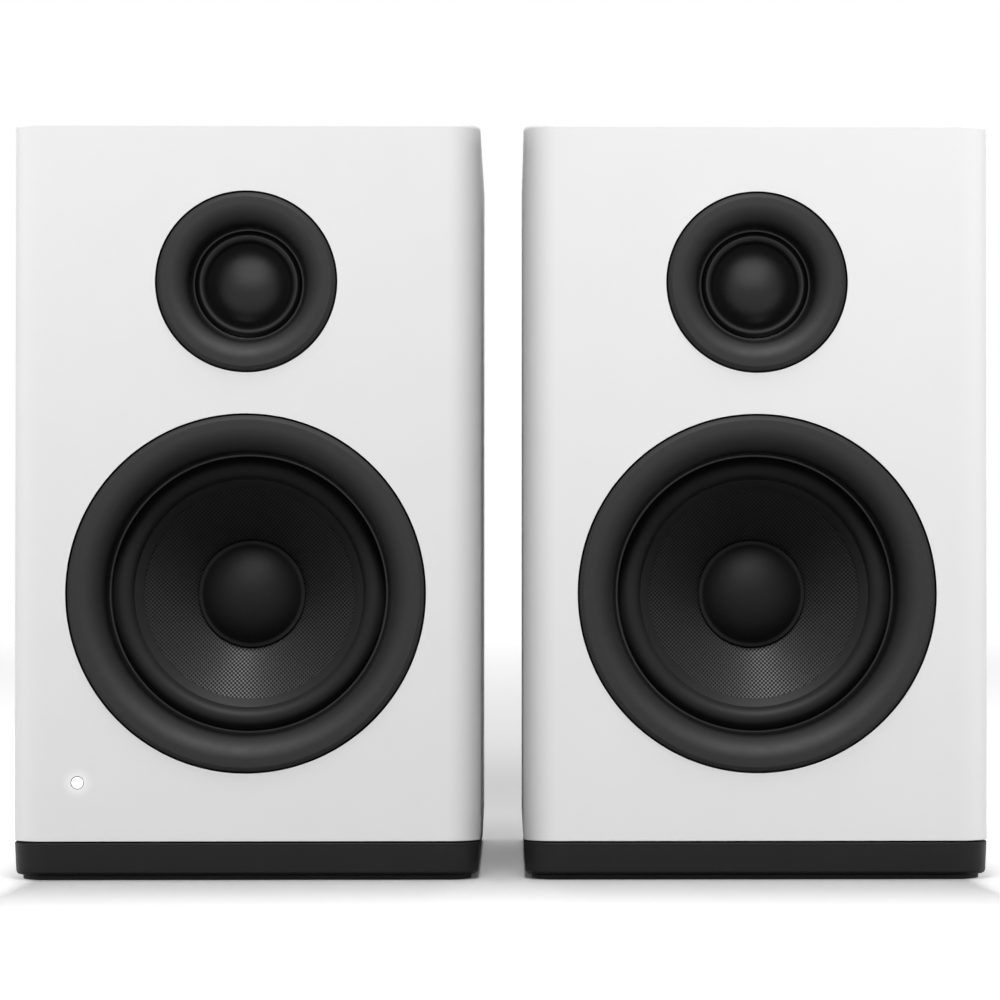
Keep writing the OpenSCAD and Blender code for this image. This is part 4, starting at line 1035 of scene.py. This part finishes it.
class SPEAKERS_OT_woofers(PieceOperator, bpy.types.Operator):
    """Builds the woofers' flared bezels, rolled surrounds, woven cones and dust caps"""

    bl_idname = "speakers.woofers"
    bl_label = "Woofers"

    def build(self):
        size = woofer_sizes()
        moulding = moulded_finish("bezel_plastic", colours().moulding, roughness=0.68, specular=0.42,
                                  polish=size.polish)
        rubber = rubber_finish("surround_rubber", colours().rubber, roughness=0.56, specular=0.14)
        weave = weave_finish("woven_cone", size.thread)
        cap = cloth_finish("cap_fabric", colours().cap, pitch=0.34 * MM, angle=45.0, roughness=0.55,
                           specular=0.165)
        spider = cloth_finish("spider_cloth", colours().spider, pitch=0.8 * MM, angle=0.0, specular=0.3)
        for side in SIDES:
            body, moving = f"{side}_speaker", f"{side}_woofer_diaphragm"
            axis = front_axis(f"{side}_woofer_bezel")
            bezel = lathe(f"{side}_woofer_trim_ring", self.bezel(side), axis, segments=256)
            place(bezel, body, "satin_black", moulding, f"{side}_woofer_bezel")
            cone = lathe(f"{side}_woofer_weave", self.cone(side), axis)
            place(cone, moving, "woven_cone", weave, f"{side}_woofer_cone")
            dome = lathe(f"{side}_woofer_cap", self.dust_cap(side), axis)
            place(dome, moving, "cap_fabric", cap, f"{side}_woofer_dust_cap")
            roll = lathe(f"{side}_woofer_roll", self.surround(side), axis)
            stand_for(roll, "surround_rubber", rubber, f"{side}_woofer_surround")
            flex(roll)
            cloth = lathe(f"{side}_woofer_centring_cloth", self.spider(side), axis, segments=96)
            stand_for(cloth, "spider_cloth", spider, f"{side}_woofer_spider")
            flex(cloth)

    def bezel(self, side):
        """The flared ring with its lip, on a web behind the front and a rim in the recess."""
        size, ring = woofer_sizes(), ring_sizes()
        node = f"{side}_woofer_bezel"
        outer = radius_of(node)
        hollow = outer - ring.rim
        points = ring_face(outer, ring.woofer_foot, front_height(node), size)
        points += ring_lip(size, back_height(node))
        points += [(size.neck, -ring.web_fall - ring.web), (size.neck + ring.web, -ring.web_fall)]
        return points + [(hollow, -ring.web), (hollow, -ring.woofer_foot)]

    def cone_front(self, side, radius):
        """Height of the cone's face at a radius."""
        size = woofer_sizes()
        return front_height(f"{side}_woofer_cone") - size.slope * (size.rim - radius)

    def cone(self, side):
        """A straight cone of even thickness."""
        size, steps = woofer_sizes(), 12
        radii = [size.rim + (size.neck_of_cone - size.rim) * i / steps for i in range(steps + 1)]
        front = [(r, self.cone_front(side, r)) for r in radii]
        return front + [(r, h - size.cone_skin) for r, h in reversed(front)]

    def dust_cap(self, side):
        """A hollow dome on a soft edged rim that is glued to the cone."""
        size, steps = woofer_sizes(), 24
        edge, skin = size.cap - size.cap_rim, size.cap_skin
        foot = self.cone_front(side, size.cap)
        rim = foot + size.cap_step
        outer_curl, valley, inner_curl, lift = 0.4 * skin, 0.1 * skin, 0.2 * skin, 0.3 * skin
        crown = dome_points(edge, size.cap_rise, rim + lift, steps)
        shell = dome_points(edge - skin, size.cap_rise - skin, rim, steps)
        skirt = rounded([(size.cap, foot + GLUE, 0.0), (size.cap, rim, outer_curl),
                         (edge + outer_curl, rim + valley, inner_curl), (edge, rim + lift, 0.0)])
        inner_foot = (edge - skin, self.cone_front(side, edge - skin) + GLUE)
        return skirt[:-1] + crown + list(reversed(shell)) + [inner_foot]

    def surround(self, side):
        """A half roll between a flange under the bezel and a flange on the cone."""
        size = woofer_sizes()
        base = back_height(f"{side}_woofer_bezel") - size.skin - GLUE
        outer, inner = size.roll_centre + size.roll, size.roll_centre - size.roll
        top, bend, tuck = base + size.skin, 0.4 * size.lap, 0.7 * size.skin
        centre, steps, crest_from, crest_to = (size.roll_centre, base), 26, 12, 170
        crest = arc(centre, size.roll, crest_from, crest_to, steps)
        inside = arc(centre, size.roll - size.skin, 180, 0, steps)
        flange = rounded([(inner, base + tuck, 0.0),
                          (inner - bend, self.cone_front(side, inner) + size.lap, bend),
                          (size.weave, self.cone_front(side, size.weave) + size.lap, bend),
                          (size.weave, self.cone_front(side, size.weave) + GLUE, 0.0),
                          (size.rim, self.cone_front(side, size.rim) + GLUE, 0.0)])
        return [(size.neck, base), (size.neck, top), (outer + bend, top)] + crest + flange + inside

    def spider_end(self):
        """Radius at which the spider's waves end."""
        size = woofer_sizes()
        return size.spider_from + size.spider_waves * size.spider_pitch

    def spider(self, side):
        """A corrugated ring between the coil's collar and the basket's ledge."""
        size, steps = woofer_sizes(), 16
        node = f"{side}_woofer_spider"
        level = front_height(node) - size.spider_collar
        half, collar, rim = size.spider_skin / 2, size.neck_of_cone, radius_of(node)
        crest = [(size.spider_from + size.spider_pitch * i / steps,
                  level + size.spider_swing * math.sin(2 * math.pi * i / steps))
                 for i in range(steps * size.spider_waves + 1)]
        inner = [(collar, level - half), (collar, level + size.spider_collar),
                 (collar + 2 * half, level + size.spider_collar), (collar + 2 * half, level + half)]
        outer = [(rim, level + half), (rim, level - size.spider_foot),
                 (self.spider_end() + 2 * half, level - size.spider_foot)]
        over, under = [[(r, h + lift) for r, h in crest] for lift in (half, -half)]
        return inner + over + outer + list(reversed(under))


class SPEAKERS_OT_tweeters(PieceOperator, bpy.types.Operator):
    """Builds the tweeters' waveguides, half rolls and cloth domes"""

    bl_idname = "speakers.tweeters"
    bl_label = "Tweeters"

    def build(self):
        size = tweeter_sizes()
        moulding = moulded_finish("waveguide_plastic", colours().moulding, roughness=0.68, specular=0.42,
                                  polish=size.polish)
        fabric = cloth_finish("dome_fabric", colours().dome, pitch=0.24 * MM, angle=0.0, depth=0.02 * MM,
                              roughness=0.32)
        rubber = rubber_finish("dome_roll", colours().dome_roll, roughness=0.36, specular=0.19)
        for side in SIDES:
            body, moving = f"{side}_speaker", f"{side}_tweeter_diaphragm"
            axis = front_axis(f"{side}_tweeter_waveguide")
            guide = lathe(f"{side}_tweeter_flare", self.waveguide(side), axis)
            place(guide, body, "satin_black", moulding, f"{side}_tweeter_waveguide")
            crown = lathe(f"{side}_tweeter_crown", self.dome(side), axis, segments=144)
            place(crown, moving, "dome_fabric", fabric, f"{side}_tweeter_dome")
            roll = lathe(f"{side}_tweeter_roll", self.surround(side), axis, segments=144)
            stand_for(roll, "surround_rubber", rubber, f"{side}_tweeter_surround")
            flex(roll)

    def waveguide(self, side):
        """The flared ring with its lip and its plain back."""
        size, ring = tweeter_sizes(), ring_sizes()
        node = f"{side}_tweeter_waveguide"
        points = ring_face(radius_of(node), ring.tweeter_foot, front_height(node), size)
        points += ring_lip(size, back_height(node))
        return points + [(size.neck, -ring.tweeter_foot)]

    def roll_base(self, side):
        """Height of the roll's underside, which is glued behind the waveguide."""
        return back_height(f"{side}_tweeter_waveguide") - GLUE - tweeter_sizes().skin

    def surround(self, side):
        """An arched roll with a flat flange."""
        size, steps = tweeter_sizes(), 28
        base = self.roll_base(side)
        spans = [2 * i / steps - 1 for i in range(steps + 1)]
        outside, inside = [[(size.roll_centre - half * span, foot + size.roll_rise * (1 - span ** 2))
                            for span in spans]
                           for half, foot in ((size.roll, base + size.skin), (size.roll - size.skin, base))]
        return [(size.flange, base), (size.flange, base + size.skin)] + outside + list(reversed(inside))

    def dome(self, side):
        """A hollow dome on its coil former."""
        size, steps = tweeter_sizes(), 24
        base, skin = self.roll_base(side), size.skin
        end = back_height(f"{side}_tweeter_dome")
        lift, bore = 0.3 * skin, size.dome - 1.3 * skin
        crown = dome_points(size.dome - 0.7 * skin, size.dome_rise, base + lift, steps)
        shell = dome_points(bore, size.dome_rise - skin, base - lift, steps)
        return [(bore, end), (size.dome, end), (size.dome, base)] + crown + list(reversed(shell))


class SPEAKERS_OT_status_light(PieceOperator, bpy.types.Operator):
    """Builds the glowing light pipe of the powered speaker"""

    bl_idname = "speakers.status_light"
    bl_label = "Status light"

    def build(self):
        size, steps = cabinet_sizes(), 10
        node = "left_led_lens"
        axis, back, collar = front_axis(node), back_height(node), radius_of(node)
        radius, rise = size.light_hole - size.light_fit, size.light_crown
        shoulder = back + size.light_collar
        section = [(0.0, back), (collar, back), (collar, shoulder), (radius, shoulder), (radius, -2 * rise)]
        section += dome_points(radius - rise, rise, -rise, steps)
        lens = lathe("left_light_pipe", section, axis, segments=64)
        finish = light_finish("light_pipe", axis, size.light_core)
        place(lens, "left_speaker", "light_pipe", finish, node)


class SPEAKERS_OT_rear_panels(PieceOperator, bpy.types.Operator):
    """Finishes the rear panels and their reflex ports"""

    bl_idname = "speakers.rear_panels"
    bl_label = "Rear panels and ports"

    def build(self):
        panel = moulded_finish("panel_plastic", colours().panel, roughness=0.5, edge=0.4 * MM)
        dress(panel, *on_both("rear_panel"))
        port = moulded_finish("port_plastic", colours().panel, roughness=0.42, edge=0.3 * MM)
        dress(port, *on_both("port_tube"))


class SPEAKERS_OT_terminals(PieceOperator, bpy.types.Operator):
    """Finishes the clip terminals and their levers"""

    bl_idname = "speakers.terminals"
    bl_label = "Clip terminals"

    def build(self):
        block = moulded_finish("terminal_plastic", colours().panel, roughness=0.36, edge=0.3 * MM)
        dress(block, *on_both("terminal_block"))
        levers = (("red_plastic", colours().red, "terminal_lever_red"),
                  ("lever_plastic", colours().panel, "terminal_lever_black"))
        for name, tint, lever in levers:
            plastic = moulded_finish(name, tint, roughness=0.34, specular=0.5, edge=0.4 * MM)
            dress(plastic, *on_both(lever))


class SPEAKERS_OT_volume_control(PieceOperator, bpy.types.Operator):
    """Finishes the volume knob, its shaft and its potentiometer"""

    bl_idname = "speakers.volume_control"
    bl_label = "Volume control"

    def build(self):
        knob = knob_finish("knob_plastic", "left_volume_knob", mark=(4.3 * MM, 8.6 * MM),
                           half_width=0.55 * MM)
        dress(knob, "left_volume_knob")
        steel = metal_finish("turned_steel", colours().steel, roughness=0.3)
        dress(steel, "left_volume_shaft", "left_volume_pot")


class SPEAKERS_OT_power_entry(PieceOperator, bpy.types.Operator):
    """Finishes the mains inlet and the power switch"""

    bl_idname = "speakers.power_entry"
    bl_label = "Mains inlet and switch"

    def build(self):
        inlet = moulded_finish("inlet_plastic", colours().panel, roughness=0.4, edge=0.3 * MM)
        dress(inlet, "left_power_inlet", "left_power_switch_frame")
        rocker = moulded_finish("gloss_black", colours().panel, roughness=0.2, specular=0.5,
                                depth=0.004 * MM, edge=0.5 * MM)
        dress(rocker, "left_power_rocker")


class SPEAKERS_OT_sockets(PieceOperator, bpy.types.Operator):
    """Finishes the signal sockets"""

    bl_idname = "speakers.sockets"
    bl_label = "Signal sockets"

    def build(self):
        pair = socket_finish("socket_metal", "left_rca_sockets", apart=16.0 * MM, collar=4.3 * MM)
        dress(pair, "left_rca_sockets")
        jack = moulded_finish("jack_plastic", colours().panel, roughness=0.3, edge=0.3 * MM)
        dress(jack, "left_aux_socket")


class SPEAKERS_OT_screws(PieceOperator, bpy.types.Operator):
    """Finishes the blackened screws"""

    bl_idname = "speakers.screws"
    bl_label = "Screws"

    def build(self):
        dress(metal_finish("screw_steel", colours().screw, roughness=0.4), *on_both("screws"))


class SPEAKERS_OT_motors(PieceOperator, bpy.types.Operator):
    """Finishes the drivers' baskets, magnets and coils"""

    bl_idname = "speakers.motors"
    bl_label = "Baskets, magnets and coils"

    def build(self):
        basket = moulded_finish("painted_basket", colours().ferrite, roughness=0.5, edge=0.3 * MM)
        dress(basket, *on_both("woofer_basket"))
        steel = metal_finish("plated_steel", colours().steel)
        dress(steel, *on_both("woofer_top_plate", "woofer_yoke", "tweeter_motor"))
        ferrite = moulded_finish("ferrite", colours().ferrite, roughness=0.7, grain=1500.0)
        dress(ferrite, *on_both("woofer_magnet"))
        coil = coil_finish("copper_coil", "left_woofer_voice_coil", pitch=0.3 * MM)
        dress(coil, *on_both("woofer_voice_coil"))


class SPEAKERS_OT_boards(PieceOperator, bpy.types.Operator):
    """Finishes the circuit boards and the leads between them and the drivers"""

    bl_idname = "speakers.boards"
    bl_label = "Boards and leads"

    def build(self):
        for node in ("left_amplifier_board", "right_crossover_board", "left_led_board"):
            dress(board_finish(f"{node}_mask", node, thickness=1.65 * MM), node)
        dress(lead_finish("wire_jacket"), *on_both("wiring"))


# Stage


class Softbox(NamedTuple):
    """A rectangular lamp, the pieces that it lights or leaves out, and whether gloss mirrors it."""

    name: str
    power: float
    size: tuple
    spot: tuple
    pieces: list
    state: str = "INCLUDE"
    mirrored: bool = True


class SPEAKERS_OT_stage(PieceOperator, bpy.types.Operator):
    """Sets the camera, the lamps, the white surroundings and the floor"""

    bl_idname = "speakers.stage"
    bl_label = "Stage"

    def build(self):
        scene = bpy.context.scene
        scene.view_settings.view_transform = "Standard"
        self.camera(scene)
        self.surroundings(scene)
        for box in self.softboxes(self.floor()):
            self.hang(box)

    def softboxes(self, floor):
        """The lamps: white wraps, black drivers, domes and floor each have their own, so that none clips."""
        settings = stage_settings()
        wraps, soft = [[bpy.data.objects[name] for name in on_both(*names)]
                       for names in (("cabinet_wrap",), ("tweeter_crown", "tweeter_roll"))]
        boxes = [
            Softbox("key_softbox", settings.key, size=(0.4, 0.4), spot=(0.0, -0.87, 1.38),
                    pieces=[floor, *wraps, *soft], state="EXCLUDE"),
            Softbox("overhead_softbox", settings.overhead, size=(0.2, 1.0), spot=(0.0, -0.08, 1.25),
                    pieces=[floor]),
            Softbox("dome_softbox", settings.dome, size=(1.4, 1.2), spot=(0.0, -1.2, 0.75), pieces=soft),
            Softbox("front_softbox", settings.front, size=(1.4, 0.9), spot=(0.0, -1.2, 0.6), pieces=wraps,
                    mirrored=False),
            Softbox("graze_softbox", settings.graze, size=(0.6, 0.45), spot=(0.0, -0.38, 1.2), pieces=wraps,
                    mirrored=False),
            Softbox("back_softbox", settings.back, size=(0.8, 0.5), spot=(0.0, 1.5, 0.6),
                    pieces=[floor, *wraps], state="EXCLUDE"),
            Softbox("rear_softbox", settings.back, size=(0.8, 0.5), spot=(0.0, 1.5, 0.6), pieces=wraps,
                    mirrored=False),
        ]
        for outward, wrap, power in zip((-1, 1), wraps, (settings.left_side, settings.right_side)):
            boxes += [
                Softbox("rim_softbox", settings.rim, size=(0.4, 0.9), spot=(1.1 * outward, 0.15, 0.25),
                        pieces=wraps, mirrored=False),
                Softbox("side_softbox", power, size=(0.6, 0.6), spot=(0.69 * outward, -0.97, 0.8),
                        pieces=[wrap], mirrored=False),
            ]
        return boxes

    def hang(self, box):
        """Hangs a lamp that points at the middle of the speakers."""
        data = bpy.data.lights.new(box.name, "AREA")
        data.shape = "RECTANGLE"
        data.size, data.size_y = box.size
        data.energy = box.power
        made = bpy.data.objects.new(box.name, data)
        made.location = box.spot
        made.rotation_euler = (LAMP_TARGET - Vector(box.spot)).to_track_quat("-Z", "Y").to_euler()
        made.visible_camera = False
        made.visible_glossy = box.mirrored
        bpy.context.scene.collection.objects.link(made)
        lit = bpy.data.collections.new(f"{made.name}_receivers")
        for piece in box.pieces:
            lit.objects.link(piece)
        made.light_linking.receiver_collection = lit
        for held in lit.collection_objects:
            held.light_linking.link_state = box.state

    def camera(self, scene):
        """Stands the camera where the photograph was taken from."""
        settings = stage_settings()
        yaw, pitch = settings.camera_yaw, settings.camera_pitch
        ahead = Vector((math.sin(yaw) * math.cos(pitch), math.cos(yaw) * math.cos(pitch), math.sin(pitch)))
        right = Vector((math.cos(yaw), -math.sin(yaw), 0.0))
        up = right.cross(ahead)
        data = bpy.data.cameras.new("photo_camera")
        data.sensor_fit = "HORIZONTAL"
        data.sensor_width = SENSOR_WIDTH
        data.lens = settings.lens
        data.shift_x, data.shift_y = settings.shift
        made = bpy.data.objects.new("photo_camera", data)
        axes = Matrix((right, up, -ahead)).transposed().to_4x4()
        made.matrix_world = Matrix.Translation(settings.camera_place) @ axes
        scene.collection.objects.link(made)
        scene.camera = made

    def seen_directly(self, tree):
        """1 for rays that show the surroundings themselves: straight, mirrored or through glass."""
        rays = tree.nodes.new("ShaderNodeLightPath").outputs
        total = rays["Is Camera Ray"]
        for name in ("Is Glossy Ray", "Is Transmission Ray"):
            joined = tree.nodes.new("ShaderNodeMath")
            joined.operation = "MAXIMUM"
            tree.links.new(total, joined.inputs[0])
            tree.links.new(rays[name], joined.inputs[1])
            total = joined.outputs[0]
        return total

    def surroundings(self, scene):
        """A faint light from all round that shows as plain white."""
        world = bpy.data.worlds.new("white_studio")
        world.use_nodes = True
        scene.world = world
        tree = world.node_tree
        light, white = tree.nodes["Background"], tree.nodes.new("ShaderNodeBackground")
        for shade, strength in ((light, stage_settings().ambient), (white, 1.0)):
            shade.inputs["Color"].default_value = WHITE
            shade.inputs["Strength"].default_value = strength
        mixer = tree.nodes.new("ShaderNodeMixShader")
        for socket, source in enumerate((self.seen_directly(tree), light.outputs[0], white.outputs[0])):
            tree.links.new(source, mixer.inputs[socket])
        tree.links.new(mixer.outputs[0], tree.nodes["World Output"].inputs["Surface"])

    def floor(self):
        """A large sheet of pale paper, darker near the speakers: partly their lamp shadows, partly painted
        shade where its own painted light fades out.
        """
        settings, reach = stage_settings(), 6.0
        bm = bmesh.new()
        corners = ((-reach, -reach), (reach, -reach), (reach, reach), (-reach, reach))
        bm.faces.new(level_loop(bm, corners, (0.0, 0.0, 0.0)))
        made = finished(bm, "studio_floor")
        bounce, tone = (settings.floor_bounce,) * 3, (settings.floor_tone,) * 3
        paper = Finish("studio_paper", tone, roughness=0.9, specular=0.1)
        seen = self.seen_directly(paper.tree)
        paper.put("Base Color", paper.blend(seen, bounce, tone))
        paper.put("Emission Color", WHITE)
        # The paper's own light is painted light: it whitens the floor away from the speakers and leaves it
        # darker near them.
        paper.put("Emission Strength", paper.times(seen, self.own_light(paper)))
        made.data.materials.append(paper.material)
        return made

    def own_light(self, paper):
        """The floor's own painted light, which turns it plain white away from the speakers: beside them, in
        front and behind; where it fades, near them, it leaves painted shade.
        """
        settings, onset = stage_settings(), 0.25
        x, y, _ = paper.axes()
        ways = (paper.math("ABSOLUTE", x), paper.times(y, -1.0), y)
        away = paper.math("MAXIMUM", paper.minus(paper.math("ABSOLUTE", y), -FRONT_Y), 0.0)
        borders = zip(ways, settings.floor_from, settings.floor_soft, settings.floor_blur)
        total = 0.0
        for way, start, near, spread in borders:
            softness = paper.plus(paper.times(away, spread), near)
            beyond, bend = paper.minus(way, start), paper.times(softness, onset)
            squares = [paper.times(part, part) for part in (beyond, bend)]
            past = paper.plus(beyond, paper.math("SQRT", paper.plus(*squares)))
            white = paper.math("DIVIDE", past, paper.plus(past, paper.times(softness, 2.0)))
            total = paper.math("MAXIMUM", white, total)
        return total


class SPEAKERS_PT_panel(bpy.types.Panel):
    """Lists the steps that build the speakers"""

    bl_idname = "SPEAKERS_PT_panel"
    bl_label = "Desktop Speakers"
    bl_space_type = "VIEW_3D"
    bl_region_type = "UI"
    bl_category = "Speakers"

    def draw(self, context):
        for step in STEPS:
            self.layout.operator(step.bl_idname)


STEPS = (
    SPEAKERS_OT_cabinets,
    SPEAKERS_OT_bases,
    SPEAKERS_OT_woofers,
    SPEAKERS_OT_tweeters,
    SPEAKERS_OT_status_light,
    SPEAKERS_OT_rear_panels,
    SPEAKERS_OT_terminals,
    SPEAKERS_OT_volume_control,
    SPEAKERS_OT_power_entry,
    SPEAKERS_OT_sockets,
    SPEAKERS_OT_screws,
    SPEAKERS_OT_motors,
    SPEAKERS_OT_boards,
    SPEAKERS_OT_stage,
)
GROUPS = {
    "speaker_cabinet": CabinetSizes,
    "speaker_rings": RingSizes,
    "speaker_woofer": WooferSizes,
    "speaker_tweeter": TweeterSizes,
    "speaker_colours": Colours,
    "speaker_stage": StageSettings,
}
CLASSES = (*GROUPS.values(), *STEPS, SPEAKERS_PT_panel)


def register():
    for made in CLASSES:
        bpy.utils.register_class(made)
    for name, group in GROUPS.items():
        setattr(bpy.types.Scene, name, PointerProperty(type=group))


def unregister():
    for name in GROUPS:
        delattr(bpy.types.Scene, name)
    for made in reversed(CLASSES):
        bpy.utils.unregister_class(made)


def main():
    register()
    for step in STEPS:
        group, name = step.bl_idname.split(".")
        getattr(getattr(bpy.ops, group), name)()


if __name__ == "__main__":
    main()
